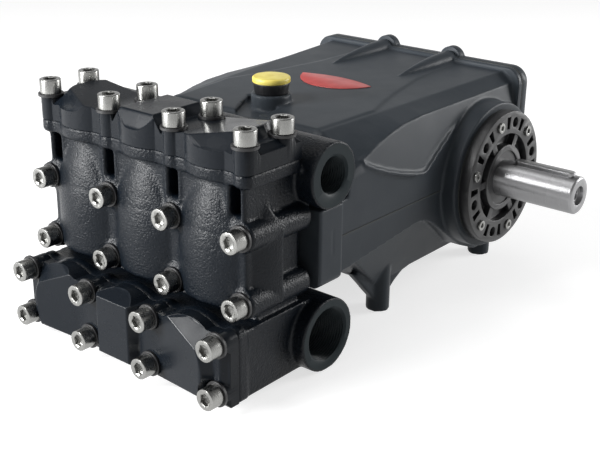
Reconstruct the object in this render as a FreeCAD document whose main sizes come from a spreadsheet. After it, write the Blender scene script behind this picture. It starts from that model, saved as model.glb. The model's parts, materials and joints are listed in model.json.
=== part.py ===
"""Triplex high-pressure plunger pump with a bare drive shaft.

The frame: the origin is the middle of the four foot bolts on the plane of the
feet, +X runs along the crankshaft to its drive end, +Y to the rear cover and
+Z up. All sizes are in millimetres and stand in the sheet "sizes".

A cast crankcase on four bored feet carries the crankshaft in two bearings,
under bolted side covers. A cast manifold with three cylinders is bolted to its
front flange: the suction gallery is at the bottom, the delivery gallery at the
top, and each has a bolted valve cover and a threaded port at both ends.
"""
import FreeCAD, Part
import Sketcher
import math
import os

from FreeCAD import Vector

X_AXIS, Y_AXIS, Z_AXIS = Vector(1, 0, 0), Vector(0, 1, 0), Vector(0, 0, 1)

doc = FreeCAD.newDocument("plunger_pump")

# The driving sizes. Heights and setbacks named "over", "under", "ahead" and
# "behind" are measured from the crankshaft's axis.
SIZES = {
    "crank_height": 110.0,
    "crank_setback": 30.0,
    "cylinder_pitch": 74.0,
    "running_clearance": 0.1,
    "gasket_thickness": 1.0,
    "joint_depth": 1.0,
    "foot_span_x": 184.0,
    "foot_span_y": 180.0,
    "foot_diameter": 22.0,
    "foot_thread_bore": 10.2,
    "foot_thread_depth": 24.0,
    "foot_root": 20.0,
    "gusset_thickness": 8.0,
    "gusset_front": 46.0,
    "gusset_back": 70.0,
    "gusset_over_foot": 13.0,
    "case_half_width": 123.0,
    "case_behind": 64.0,
    "case_front_ahead": 222.0,
    "case_wall_under": 34.0,
    "parting_step": 0.8,
    "arch_ahead": 107.0,
    "arch_under": 22.0,
    "arch_run": 29.0,
    "arch_drop": 10.0,
    "arch_radius": 50.0,
    "skirt_ahead": 28.0,
    "skirt_under": 68.0,
    "deck_over_rear": 86.0,
    "deck_over_front": 78.0,
    "deck_front_ahead": 202.0,
    "deck_nose_run": 9.0,
    "deck_nose_drop": 12.0,
    "deck_edge_rear": 106.0,
    "deck_edge_front": 87.0,
    "panel_rise": 1.2,
    "panel_slant": 3.0,
    "panel_edge_rear": 50.0,
    "panel_edge_front": 86.0,
    "panel_front_ahead": 130.0,
    "ridge_over": 76.0,
    "ridge_inset": 6.0,
    "ridge_round": 9.0,
    "ridge_fall_ahead": 100.0,
    "ridge_fall": 21.0,
    "cheek_stand": 4.5,
    "cheek_tip_ahead": 192.0,
    "cheek_tip_over": 58.0,
    "cheek_toe_ahead": 106.0,
    "cheek_toe_over": 26.0,
    "cheek_heel_ahead": 36.0,
    "cheek_heel_over": 62.0,
    "cheek_lower_radius": 330.0,
    "flange_ahead": 251.0,
    "flange_half_width": 126.0,
    "flange_under": 38.0,
    "flange_over": 31.0,
    "flange_corner": 8.0,
    "flange_groove_ahead": 234.0,
    "flange_groove_half": 10.4,
    "flange_groove_width": 1.6,
    "flange_groove_depth": 1.5,
    "sump_under": 80.0,
    "sump_beside_foot": 5.0,
    "sump_mouth_inset": 5.0,
    "sump_front_ahead": 134.0,
    "sump_mouth_ahead": 205.0,
    "rim_thickness": 7.0,
    "rim_stand": 2.0,
    "rim_rise": 4.0,
    "rim_corner": 16.0,
    "housing_boss_diameter": 140.0,
    "housing_boss_reach": 137.0,
    "teardrop_spacing": 80.0,
    "teardrop_radius": 9.5,
    "teardrop_length": 88.0,
    "bearing_bore": 90.0,
    "bearing_width": 23.0,
    "bearing_seat": 45.0,
    "cover_diameter": 127.0,
    "cover_thickness": 10.0,
    "cover_spigot": 6.0,
    "cover_recess_outer": 85.0,
    "cover_recess_inner": 63.0,
    "cover_recess_depth": 8.0,
    "cover_web": 7.0,
    "cover_web_drop": 1.5,
    "cover_screw_circle": 106.4,
    "cover_hole": 9.5,
    "cover_hole_angle": 15.0,
    "cover_pocket_inner": 47.0,
    "cover_pocket_outer": 58.5,
    "cover_pocket_width": 6.5,
    "cover_pocket_angle": 13.5,
    "cover_pocket_depth": 6.0,
    "seal_outer": 52.0,
    "seal_lip_bore": 40.0,
    "seal_width": 9.0,
    "seal_inset": 1.5,
    "shaft_diameter": 35.0,
    "shaft_end": 225.4,
    "shaft_chamfer": 1.5,
    "shaft_core": 50.0,
    "throw_diameter": 54.0,
    "throw_offset": 12.0,
    "throw_width": 34.0,
    "shaft_thread_bore": 10.2,
    "shaft_thread_depth": 26.0,
    "shaft_countersink": 18.0,
    "shaft_countersink_depth": 4.0,
    "key_width": 10.0,
    "key_height": 8.0,
    "key_depth": 5.0,
    "key_length": 60.0,
    "key_end_gap": 6.0,
    "rear_cover_under": 46.0,
    "rear_cover_thickness": 9.0,
    "rear_ear_radius": 13.0,
    "sight_diameter": 34.0,
    "sight_glass_diameter": 24.0,
    "sight_stand": 4.0,
    "sight_glass_drop": 1.0,
    "sight_under": 20.0,
    "drain_flats": 19.0,
    "drain_head": 8.0,
    "drain_washer": 22.0,
    "drain_washer_thickness": 1.5,
    "drain_thread": 13.2,
    "drain_thread_length": 12.0,
    "drain_under": 63.0,
    "filler_ahead": 166.0,
    "filler_boss_diameter": 36.0,
    "filler_boss_over": 89.0,
    "filler_boss_root": 10.0,
    "recess_floor_over": 75.0,
    "recess_back": 6.0,
    "recess_left": 33.0,
    "recess_mouth": 17.0,
    "filler_body_diameter": 33.0,
    "filler_body_foot": 29.5,
    "filler_body_height": 10.0,
    "filler_thread": 26.0,
    "filler_thread_length": 12.0,
    "filler_cap_diameter": 34.0,
    "filler_cap_height": 5.0,
    "filler_cap_chamfer": 1.0,
    "plate_length": 82.0,
    "plate_rear_bow": 8.0,
    "plate_front_bow": 29.0,
    "plate_thickness": 0.6,
    "plate_ahead": 72.0,
    "core_half_width": 113.0,
    "core_front": 324.0,
    "core_rear": 262.0,
    "core_under": 33.0,
    "throat_front": 312.0,
    "land_half_width": 104.0,
    "land_height": 33.0,
    "bulge_radius": 50.0,
    "bulge_front": 336.0,
    "bulge_shoulder": 27.0,
    "bulge_slope": 17.0,
    "slot_width": 10.0,
    "slot_low": 42.0,
    "slot_back": 292.0,
    "slot_inset": 8.0,
    "head_screw_height": 27.6,
    "head_screw_seat": 326.7,
    "head_screw_boss": 24.0,
    "head_screw_spot": 23.0,
    "head_screw_boss_rear": 258.0,
    "block_half_width": 118.0,
    "block_front": 329.0,
    "block_rear": 250.0,
    "block_over": 46.0,
    "suction_ahead": 245.0,
    "suction_under": 78.0,
    "suction_boss": 64.0,
    "suction_bore": 44.8,
    "suction_depth": 36.0,
    "suction_chamfer": 2.4,
    "port_half_span": 131.0,
    "delivery_ahead": 241.0,
    "delivery_over": 59.6,
    "delivery_boss": 55.0,
    "delivery_bore": 30.3,
    "delivery_depth": 32.0,
    "delivery_chamfer": 1.8,
    "valve_edge_margin": 12.6,
    "valve_screw_rows": 41.6,
    "valve_lobe_offset": 12.8,
    "valve_lobe_radius": 40.0,
    "valve_boss_radius": 8.5,
    "valve_front_margin": 5.3,
    "valve_edge_inset": 1.0,
    "valve_flange": 11.0,
    "valve_crest": 8.0,
    "valve_crest_ahead": 44.0,
    "valve_rim_drop": 5.3,
    "valve_rim_slope": 45.0,
    "valve_flank": 35.0,
    "valve_bar_half": 27.7,
    "valve_wedge_start": 47.0,
    "valve_wedge_end": 98.0,
    "valve_wedge_centre": 70.0,
    "valve_wedge_radius": 36.7,
    "valve_wedge_ahead": 21.4,
    "top_edge_ahead": 267.5,
    "top_joint_over": 78.0,
    "top_seat": 19.3,
    "front_edge_under": 104.6,
    "front_joint_ahead": 340.0,
    "front_seat": 14.9,
}

sheet = doc.addObject("Spreadsheet::Sheet", "sizes")
for row, (alias, value) in enumerate(SIZES.items(), start=1):
    sheet.set(f"A{row}", alias)
    sheet.set(f"B{row}", str(value))
    sheet.setAlias(f"B{row}", alias)
doc.recompute()


def bind(text):
    """An expression on the sheet: each word that is a size gets the sheet's name."""
    words = []
    word = ""
    for mark in text + " ":
        if mark.isalnum() or mark == "_":
            word += mark
            continue
        words.append(f"sizes.{word}" if word in SIZES else word)
        words.append(mark)
        word = ""
    return "".join(words).strip()


def new_body(label):
    """An empty PartDesign body with its label."""
    body = doc.addObject("PartDesign::Body", label)
    body.Label = label
    return body


def new_sketch(body, plane, offset="0"):
    """A sketch on one of the body's own planes, moved along its normal."""
    sketch = body.newObject("Sketcher::SketchObject", f"{body.Name}_sketch")
    for feature in body.Origin.OriginFeatures:
        if feature.Role == plane:
            sketch.AttachmentSupport = [(feature, "")]
    sketch.MapMode = "FlatFace"
    sketch.setExpression("AttachmentOffset.Base.z", bind(offset))
    return sketch


def number_of(sketch, text):
    """The value of an expression, in millimetres or degrees."""
    value = sketch.evalExpression(bind(text))
    return float(getattr(value, "Value", value))


def place_point(sketch, geometry, end, across, up):
    """Ties one point of a sketch to two expressions."""
    for kind, text in (("DistanceX", across), ("DistanceY", up)):
        constraint = Sketcher.Constraint(kind, geometry, end, number_of(sketch, text))
        sketch.setExpression(f"Constraints[{sketch.addConstraint(constraint)}]", bind(text))


def arc_between(start, end, radius, side):
    """An arc from start to end, whose centre lies to the left (1) or to the right (-1) of the way."""
    chord = end - start
    reach = math.sqrt(radius ** 2 - (chord.Length / 2) ** 2)
    centre = (start + end) / 2 + Vector(-chord.y, chord.x, 0).normalize() * reach * side
    angles = [math.atan2(point.y - centre.y, point.x - centre.x) for point in (start, end)]
    return Part.ArcOfCircle(Part.Circle(centre, Z_AXIS, radius), *angles[::side])


def draw_outline(sketch, points, arcs=None):
    """A closed outline through points given as expressions. Its sides are straight, apart from
    the numbered ones in arcs, which give a radius and the side of the way where the centre lies."""
    arcs = arcs or {}
    corners = [Vector(number_of(sketch, across), number_of(sketch, up), 0) for across, up in points]
    first = sketch.GeometryCount
    ends = []
    for number, start in enumerate(corners):
        end = corners[(number + 1) % len(corners)]
        if number not in arcs:
            sketch.addGeometry(Part.LineSegment(start, end), False)
            ends.append((1, 2))
            continue
        radius, side = arcs[number]
        sketch.addGeometry(arc_between(start, end, number_of(sketch, radius), side), False)
        ends.append((1, 2) if side > 0 else (2, 1))
    for number, (across, up) in enumerate(points):
        following = (number + 1) % len(points)
        sketch.addConstraint(Sketcher.Constraint(
            "Coincident", first + number, ends[number][1], first + following, ends[following][0]))
        place_point(sketch, first + number, ends[number][0], across, up)
        if number in arcs:
            radius = arcs[number][0]
            size = sketch.addConstraint(
                Sketcher.Constraint("Radius", first + number, number_of(sketch, radius)))
            sketch.setExpression(f"Constraints[{size}]", bind(radius))


def draw_circle(sketch, across, up, diameter):
    """A circle with its centre and diameter given as expressions."""
    centre = Vector(number_of(sketch, across), number_of(sketch, up), 0)
    circle = Part.Circle(centre, Z_AXIS, number_of(sketch, diameter) / 2)
    number = sketch.addGeometry(circle, False)
    place_point(sketch, number, 3, across, up)
    size = sketch.addConstraint(
        Sketcher.Constraint("Diameter", number, number_of(sketch, diameter)))
    sketch.setExpression(f"Constraints[{size}]", bind(diameter))


def rectangle(left, right, low, high):
    """The corners of a rectangle, as expressions."""
    return [(left, low), (right, low), (right, high), (left, high)]


def add_pad(body, sketch, length, both_ways=False, reversed_way=False):
    """A pad of the sketch."""
    pad = body.newObject("PartDesign::Pad", f"{body.Name}_pad")
    pad.Profile = sketch
    pad.setExpression("Length", bind(length))
    pad.Midplane = both_ways
    pad.Reversed = reversed_way
    sketch.Visibility = False
    return pad


def add_pocket(body, sketch, length, both_ways=False, reversed_way=False):
    """A pocket of the sketch."""
    pocket = body.newObject("PartDesign::Pocket", f"{body.Name}_pocket")
    pocket.Profile = sketch
    pocket.setExpression("Length", bind(length))
    pocket.Midplane = both_ways
    pocket.Reversed = reversed_way
    return pocket


def add_turned(body, sketch, axis, feature="PartDesign::Revolution"):
    """A full turn of the sketch about one of its own axes."""
    turned = body.newObject(feature, f"{body.Name}_turned")
    turned.Profile = sketch
    turned.ReferenceAxis = (sketch, [axis])
    turned.Angle = 360.0
    return turned


def round_edges(body, feature, test, radius, kind="PartDesign::Fillet"):
    """Rounds or chamfers the feature's edges for which the test holds."""
    doc.recompute()
    names = [f"Edge{number}" for number, edge in enumerate(feature.Shape.Edges, start=1) if test(edge)]
    dressed = body.newObject(kind, f"{body.Name}_edges")
    dressed.Base = (feature, names)
    dressed.setExpression("Radius" if kind.endswith("Fillet") else "Size", bind(radius))
    return dressed


def runs_along(edge, axis):
    """True for a straight edge along an axis."""
    return edge.Curve.TypeId == "Part::GeomLine" and edge.Curve.Direction.cross(axis).Length < 1e-6


def ahead(name):
    """A place in front of the crankshaft's axis."""
    return f"crank_setback - ({name})"


def over(name):
    """A height over the crankshaft's axis."""
    return f"crank_height + ({name})"


def under(name):
    """A height under the crankshaft's axis."""
    return f"crank_height - ({name})"


REAR = "crank_setback + case_behind"


def deck_height(distance_ahead):
    """The height of the sloping deck at a distance ahead of the crankshaft."""
    slope = "(deck_over_rear - deck_over_front) / (case_behind + deck_front_ahead)"
    return f"crank_height + deck_over_rear - (case_behind + {distance_ahead}) * {slope}"


def deck_edge(distance_ahead):
    """Half the width of the flat deck, which narrows to the front."""
    share = f"(case_behind + {distance_ahead}) / (case_behind + deck_front_ahead)"
    return f"(deck_edge_rear + (deck_edge_front - deck_edge_rear) * {share})"


def panel_edge(distance_ahead):
    """Half the width of the deck's raised middle panel, whose edge curves outwards to the front."""
    share = f"((case_behind + {distance_ahead}) / (case_behind + panel_front_ahead))"
    return f"(panel_edge_rear + (panel_edge_front - panel_edge_rear) * {share} ^ 2)"


def ridge_height(distance_ahead):
    """The height of the shoulder's ridge ahead of the place where it starts to fall."""
    share = f"(({distance_ahead} - ridge_fall_ahead) / (deck_front_ahead - ridge_fall_ahead))"
    return f"crank_height + ridge_over - ridge_fall * {share} ^ 2"


def draw_case_section(body, distance_ahead, ridge, panel, drop="0"):
    """One section of the crankcase's upper half, square to the cylinders."""
    sketch = new_sketch(body, "XZ_Plane", "0 - (" + ahead(distance_ahead) + ")")
    deck = deck_height(distance_ahead) + " - " + drop
    right = [
        ("case_half_width", "crank_height"),
        ("case_half_width", ridge + " - ridge_round"),
        ("case_half_width - ridge_inset / 3", ridge + " - ridge_round / 3"),
        ("case_half_width - ridge_inset", ridge),
        (deck_edge(distance_ahead), deck),
        (panel + " + panel_slant", deck),
        (panel, deck + " + panel_rise"),
    ]
    left = [(f"0 - ({across})", up) for across, up in reversed(right)]
    draw_outline(sketch, right + left)
    return sketch


def add_upper_case(body):
    """The upper half: sections from the rear rim to the nose, with sloping shoulders and deck."""
    level = "crank_height + ridge_over"
    halfway = "(panel_front_ahead + deck_front_ahead) / 2"
    nose = "(deck_front_ahead + deck_nose_run)"
    beside = " - 2 * panel_slant"
    level_places = ["0 - case_behind", "ridge_fall_ahead / 4", "ridge_fall_ahead * 3 / 4",
                    "ridge_fall_ahead"]
    sections = [draw_case_section(body, place, level, panel_edge(place)) for place in level_places]
    sections += [
        draw_case_section(body, "panel_front_ahead", ridge_height("panel_front_ahead"),
                          panel_edge("panel_front_ahead")),
        draw_case_section(body, halfway, ridge_height(halfway), deck_edge(halfway) + beside),
        draw_case_section(body, "deck_front_ahead", ridge_height("deck_front_ahead"),
                          deck_edge("deck_front_ahead") + beside),
        draw_case_section(body, nose, ridge_height(nose), deck_edge(nose) + beside, "deck_nose_drop"),
    ]
    upper = body.newObject("PartDesign::AdditiveLoft", "upper_case")
    upper.Profile = sections[0]
    upper.Sections = sections[1:]
    upper.Ruled = True

    sketch = new_sketch(body, "YZ_Plane")
    draw_outline(sketch, rectangle(
        ahead("case_front_ahead"), ahead(nose + " - joint_depth"),
        "crank_height", over("flange_over")))
    add_pad(body, sketch, "2 * case_half_width", both_ways=True)


def add_lower_case(body):
    """The lower half: a wall with an arch ahead of the bearing skirt, and the sump inside it."""
    sketch = new_sketch(body, "YZ_Plane")
    draw_outline(sketch, [
        (REAR, over("joint_depth")),
        (ahead("case_front_ahead"), over("joint_depth")),
        (ahead("case_front_ahead"), under("case_wall_under")),
        (ahead("arch_ahead"), under("arch_under")),
        (ahead("arch_ahead - arch_run"), under("arch_under + arch_drop")),
        (ahead("skirt_ahead"), under("skirt_under")),
        ("crank_setback", under("sump_under")),
        (REAR, under("sump_under")),
    ], {3: ("arch_radius", -1)})
    add_pad(body, sketch, "2 * (case_half_width - parting_step)", both_ways=True)

    upper = new_sketch(body, "XY_Plane", under("arch_under - joint_depth"))
    draw_outline(upper, rectangle(
        "sump_mouth_inset - case_half_width", "case_half_width - sump_mouth_inset",
        ahead("sump_mouth_ahead"), REAR))
    lower = new_sketch(body, "XY_Plane", under("sump_under"))
    half_width = "(foot_span_x / 2 + sump_beside_foot)"
    draw_outline(lower, rectangle(
        "0 - " + half_width, half_width, ahead("sump_front_ahead"), REAR))
    sump = body.newObject("PartDesign::AdditiveLoft", "sump")
    sump.Profile = upper
    sump.Sections = [lower]
    sump.Ruled = True


def add_cheeks(body):
    """The raised panels on both side walls, whose faces lean inwards to the ridges."""
    sketch = new_sketch(body, "YZ_Plane")
    draw_outline(sketch, [
        (ahead("cheek_tip_ahead"), over("cheek_tip_over")),
        (ahead("cheek_toe_ahead"), over("cheek_toe_over")),
        (ahead("cheek_heel_ahead"), over("cheek_heel_over")),
        ("crank_setback", over("cheek_toe_over")),
        (REAR, over("cheek_toe_over")),
        (REAR, over("ridge_over")),
        (ahead("ridge_fall_ahead"), over("ridge_over")),
        (ahead("(cheek_tip_ahead + ridge_fall_ahead) / 2"),
         ridge_height("(cheek_tip_ahead + ridge_fall_ahead) / 2")),
    ], {0: ("cheek_lower_radius", 1)})
    add_pad(body, sketch, "2 * (case_half_width + cheek_stand)", both_ways=True)

    sketch = new_sketch(body, "XZ_Plane")
    for side in (-1, 1):
        draw_outline(sketch, [
            (f"{side} * (case_half_width - ridge_inset)", over("ridge_over")),
            (f"{side} * (case_half_width + cheek_stand)", over("cheek_toe_over")),
            (f"{side} * (case_half_width + 2 * cheek_stand)", over("cheek_toe_over")),
            (f"{side} * (case_half_width + 2 * cheek_stand)", over("ridge_over + joint_depth")),
            (f"{side} * (case_half_width - ridge_inset)", over("ridge_over + joint_depth")),
        ])
    add_pocket(body, sketch, "4 * deck_front_ahead", both_ways=True)


def add_front_flange(body):
    """The flange that carries the manifold, with rounded lower corners and a groove in each side."""
    sketch = new_sketch(body, "XZ_Plane", "0 - (" + ahead("flange_ahead") + ")")
    draw_outline(sketch, [
        ("flange_corner - flange_half_width", under("flange_under")),
        ("flange_half_width - flange_corner", under("flange_under")),
        ("flange_half_width", under("flange_under - flange_corner")),
        ("flange_half_width", over("flange_over")),
        ("0 - flange_half_width", over("flange_over")),
        ("0 - flange_half_width", under("flange_under - flange_corner")),
    ], {1: ("flange_corner", 1), 5: ("flange_corner", 1)})
    add_pad(body, sketch, "flange_ahead - case_front_ahead + joint_depth", reversed_way=True)
    groove = rectangle(ahead("flange_groove_ahead + flange_groove_width / 2"),
                       ahead("flange_groove_ahead - flange_groove_width / 2"),
                       under("flange_groove_half"), over("flange_groove_half"))
    for side in (-1, 1):
        sketch = new_sketch(body, "YZ_Plane", f"{side} * flange_half_width")
        draw_outline(sketch, groove)
        add_pocket(body, sketch, "flange_groove_depth", reversed_way=side < 0)


def draw_feet(body, diameter):
    """Four circles where the foot bolts are."""
    sketch = new_sketch(body, "XY_Plane")
    for side in (-1, 1):
        for end in (-1, 1):
            draw_circle(sketch, f"{side} * foot_span_x / 2", f"{end} * foot_span_y / 2", diameter)
    return sketch


def add_feet(body):
    """Four round feet, each with a gusset up to the sump."""
    add_pad(body, draw_feet(body, "foot_diameter"), "crank_height - sump_under + foot_root")
    root = under("sump_under - joint_depth")
    for side in (-1, 1):
        sketch = new_sketch(body, "YZ_Plane", f"{side} * foot_span_x / 2")
        draw_outline(sketch, [
            ("0 - foot_span_y / 2", "gusset_over_foot"),
            ("0 - foot_span_y / 2 - foot_diameter / 2", "gusset_over_foot"),
            ("0 - foot_span_y / 2 - gusset_front", under("sump_under - foot_root")),
            ("0 - foot_span_y / 2", root),
        ])
        draw_outline(sketch, [
            ("0 - foot_span_y / 2 + foot_diameter / 2", "gusset_over_foot"),
            ("0 - foot_span_y / 2 + gusset_back", root),
            ("0 - foot_span_y / 2 + foot_diameter / 2", root),
        ], {0: ("gusset_back", -1)})
        draw_outline(sketch, [
            ("foot_span_y / 2 - foot_diameter / 2", "gusset_over_foot"),
            ("foot_span_y / 2 - foot_diameter / 2", root),
            ("foot_span_y / 2 - gusset_front", root),
        ])
        add_pad(body, sketch, "gusset_thickness", both_ways=True)


def draw_rear_outline(sketch):
    """The rounded outline that the rear rim, its gasket and the rear cover share."""
    right = "case_half_width + rim_stand"
    low, high = "rear_cover_under", "deck_over_rear + rim_rise"
    draw_outline(sketch, [
        (f"rim_corner - ({right})", under(low)),
        (right + " - rim_corner", under(low)),
        (right, under(low + " - rim_corner")),
        (right, over(high + " - rim_corner")),
        (right + " - rim_corner", over(high)),
        (f"rim_corner - ({right})", over(high)),
        (f"0 - ({right})", over(high + " - rim_corner")),
        (f"0 - ({right})", under(low + " - rim_corner")),
    ], {number: ("rim_corner", 1) for number in (1, 3, 5, 7)})


def add_rear_rim(body):
    """The thick rim that carries the rear cover."""
    sketch = new_sketch(body, "XZ_Plane", "0 - (" + REAR + ")")
    draw_rear_outline(sketch)
    add_pad(body, sketch, "rim_thickness")


def add_screw_bosses(body):
    """The two pointed bosses on the deck, where the rear cover's upper screws go in."""
    for side in (-1, 1):
        sketch = new_sketch(body, "XY_Plane", over("deck_over_rear"))
        sketch.setExpression("AttachmentOffset.Base.x", bind(f"{side} * teardrop_spacing / 2"))
        draw_outline(sketch, [
            ("0", REAR + " - teardrop_length"), ("0", REAR), ("teardrop_radius", REAR),
        ], {2: ("(teardrop_length ^ 2 + teardrop_radius ^ 2) / (2 * teardrop_radius)", -1)})
        add_turned(body, sketch, "V_Axis")


def add_filler_boss(body):
    """The boss for the filler plug, with a shallow recess that runs from it to the deck's nose."""
    beyond = ahead("deck_front_ahead + 2 * deck_nose_run")
    sketch = new_sketch(body, "XY_Plane", over("filler_boss_over"))
    draw_outline(sketch, [
        ("0 - recess_left", ahead("filler_ahead - recess_back")),
        ("0", beyond),
        ("recess_mouth", beyond),
        ("recess_mouth", ahead("filler_ahead")),
        ("0 - filler_boss_diameter / 4", ahead("filler_ahead - 2 * filler_boss_diameter / 5")),
    ])
    add_pocket(body, sketch, "filler_boss_over - recess_floor_over")
    sketch = new_sketch(body, "XY_Plane", over("deck_over_front - filler_boss_root"))
    draw_circle(sketch, "0", ahead("filler_ahead"), "filler_boss_diameter")
    add_pad(body, sketch, "filler_boss_over - deck_over_front + filler_boss_root")


def make_crankcase():
    """The cast crankcase: housing, front flange, sump, feet, bearing bosses and deck."""
    body = new_body("crankcase")
    add_upper_case(body)
    add_cheeks(body)
    add_lower_case(body)
    add_front_flange(body)
    sketch = new_sketch(body, "YZ_Plane")
    draw_circle(sketch, "crank_setback", "crank_height", "housing_boss_diameter")
    add_pad(body, sketch, "2 * housing_boss_reach", both_ways=True)
    add_feet(body)
    add_rear_rim(body)
    add_filler_boss(body)
    add_screw_bosses(body)

    sketch = new_sketch(body, "YZ_Plane")
    draw_outline(sketch, rectangle(
        REAR, REAR + " + housing_boss_diameter", under("rear_cover_under"), over("2 * deck_over_rear")))
    add_pocket(body, sketch, "4 * case_half_width", both_ways=True)
    sketch = new_sketch(body, "YZ_Plane")
    draw_circle(sketch, "crank_setback", "crank_height", "bearing_bore")
    add_pocket(body, sketch, "2 * (housing_boss_reach + joint_depth)", both_ways=True)
    add_pocket(body, draw_feet(body, "foot_thread_bore"), "foot_thread_depth", reversed_way=True)
    sketch = new_sketch(body, "XY_Plane", over("filler_boss_over"))
    draw_circle(sketch, "0", ahead("filler_ahead"), "filler_thread")
    add_pocket(body, sketch, "filler_thread_length + joint_depth")
    sketch = new_sketch(body, "XZ_Plane", "0 - (" + REAR + ")")
    draw_circle(sketch, "0", under("drain_under"), "drain_thread")
    add_pocket(body, sketch, "drain_thread_length + joint_depth", reversed_way=True)
    return body


def make_rear_plate(label, start, thickness, with_ears):
    """A plate on the crankcase's rear rim: the cover, or its gasket."""
    body = new_body(label)
    sketch = new_sketch(body, "XZ_Plane", "0 - (" + start + ")")
    draw_rear_outline(sketch)
    add_pad(body, sketch, thickness, reversed_way=True)
    if with_ears:
        sketch = new_sketch(body, "XZ_Plane", "0 - (" + start + ")")
        for side in (-1, 1):
            draw_circle(sketch, f"{side} * teardrop_spacing / 2", over("deck_over_rear"),
                        "2 * rear_ear_radius")
        add_pad(body, sketch, thickness, reversed_way=True)
    return body


def make_side_ring(label, side, thickness, start, outer, inner):
    """A flat ring about the crankshaft's axis, on the side given as 1 or -1."""
    body = new_body(label)
    sketch = new_sketch(body, "YZ_Plane", f"{side} * ({start})")
    draw_circle(sketch, "crank_setback", "crank_height", outer)
    draw_circle(sketch, "crank_setback", "crank_height", inner)
    add_pad(body, sketch, thickness, reversed_way=side < 0)
    return body


COVER_SEAT = "housing_boss_reach + gasket_thickness"
COVER_FACE = COVER_SEAT + " + cover_thickness"


def polar_copies(body, feature, count):
    """Copies of a feature all round the crankshaft's axis."""
    pattern = body.newObject("PartDesign::PolarPattern", f"{body.Name}_pattern")
    pattern.Originals = [feature]
    pattern.Axis = (feature.Profile[0], ["N_Axis"])
    pattern.Angle = 360.0
    pattern.Occurrences = count
    body.Tip = pattern
    return pattern


def on_circle(radius, angle, aside="0"):
    """A point about the crankshaft's axis, moved aside along the circle, as two expressions."""
    turn = f"({angle}) * 1deg"
    return (f"{radius} * cos({turn}) - ({aside}) * sin({turn})",
            f"{radius} * sin({turn}) + ({aside}) * cos({turn})")


def axis_sketch(body, side, start):
    """A sketch square to the crankshaft whose own origin lies on its axis."""
    sketch = new_sketch(body, "YZ_Plane", f"{side} * ({start})")
    sketch.setExpression("AttachmentOffset.Base.x", bind("crank_setback"))
    sketch.setExpression("AttachmentOffset.Base.y", bind("crank_height"))
    return sketch


def make_bearing_cover(label, side, open_hub):
    """A bearing cover: a bolted ring, six webs, and a hub that holds the shaft seal or is closed."""
    body = new_body(label)
    sketch = axis_sketch(body, side, COVER_SEAT)
    draw_circle(sketch, "0", "0", "cover_diameter")
    add_pad(body, sketch, "cover_thickness", reversed_way=side < 0)
    sketch = axis_sketch(body, side, COVER_SEAT)
    draw_circle(sketch, "0", "0", "bearing_bore - 2 * running_clearance")
    add_pad(body, sketch, "cover_spigot + gasket_thickness", reversed_way=side > 0)

    sketch = axis_sketch(body, side, COVER_FACE)
    draw_circle(sketch, "0", "0", "cover_recess_outer")
    draw_circle(sketch, "0", "0", "cover_recess_inner")
    add_pocket(body, sketch, "cover_recess_depth", reversed_way=side < 0)
    sketch = axis_sketch(body, side, COVER_FACE + " - cover_recess_depth - joint_depth")
    draw_outline(sketch, rectangle(
        "cover_recess_inner / 2 - joint_depth", "cover_recess_outer / 2 + joint_depth",
        "0 - cover_web / 2", "cover_web / 2"))
    web = add_pad(body, sketch, "cover_recess_depth + joint_depth - cover_web_drop",
                  reversed_way=side < 0)
    polar_copies(body, web, 6)

    sketch = axis_sketch(body, side, COVER_FACE)
    across, up = on_circle("cover_screw_circle / 2", "cover_hole_angle")
    draw_circle(sketch, across, up, "cover_hole")
    hole = add_pocket(body, sketch, "cover_pocket_depth", reversed_way=side < 0)
    polar_copies(body, hole, 6)
    for turn in ("cover_hole_angle - cover_pocket_angle", "cover_hole_angle + cover_pocket_angle"):
        sketch = axis_sketch(body, side, COVER_FACE)
        draw_outline(sketch, [
            on_circle("cover_pocket_inner", turn, "0 - cover_pocket_width / 3"),
            on_circle("cover_pocket_outer", turn, "0 - cover_pocket_width / 2"),
            on_circle("cover_pocket_outer", turn, "cover_pocket_width / 2"),
            on_circle("cover_pocket_inner", turn, "cover_pocket_width / 3"),
        ])
        pocket = add_pocket(body, sketch, "cover_pocket_depth", reversed_way=side < 0)
        polar_copies(body, pocket, 6)

    if open_hub:
        sketch = axis_sketch(body, side, COVER_FACE)
        draw_circle(sketch, "0", "0", "seal_outer")
        add_pocket(body, sketch, "seal_width + seal_inset", reversed_way=side < 0)
        sketch = axis_sketch(body, side, COVER_FACE)
        draw_circle(sketch, "0", "0", "seal_lip_bore")
        add_pocket(body, sketch, "cover_thickness + cover_spigot + 2 * gasket_thickness",
                   reversed_way=side < 0)
    return body


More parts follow.
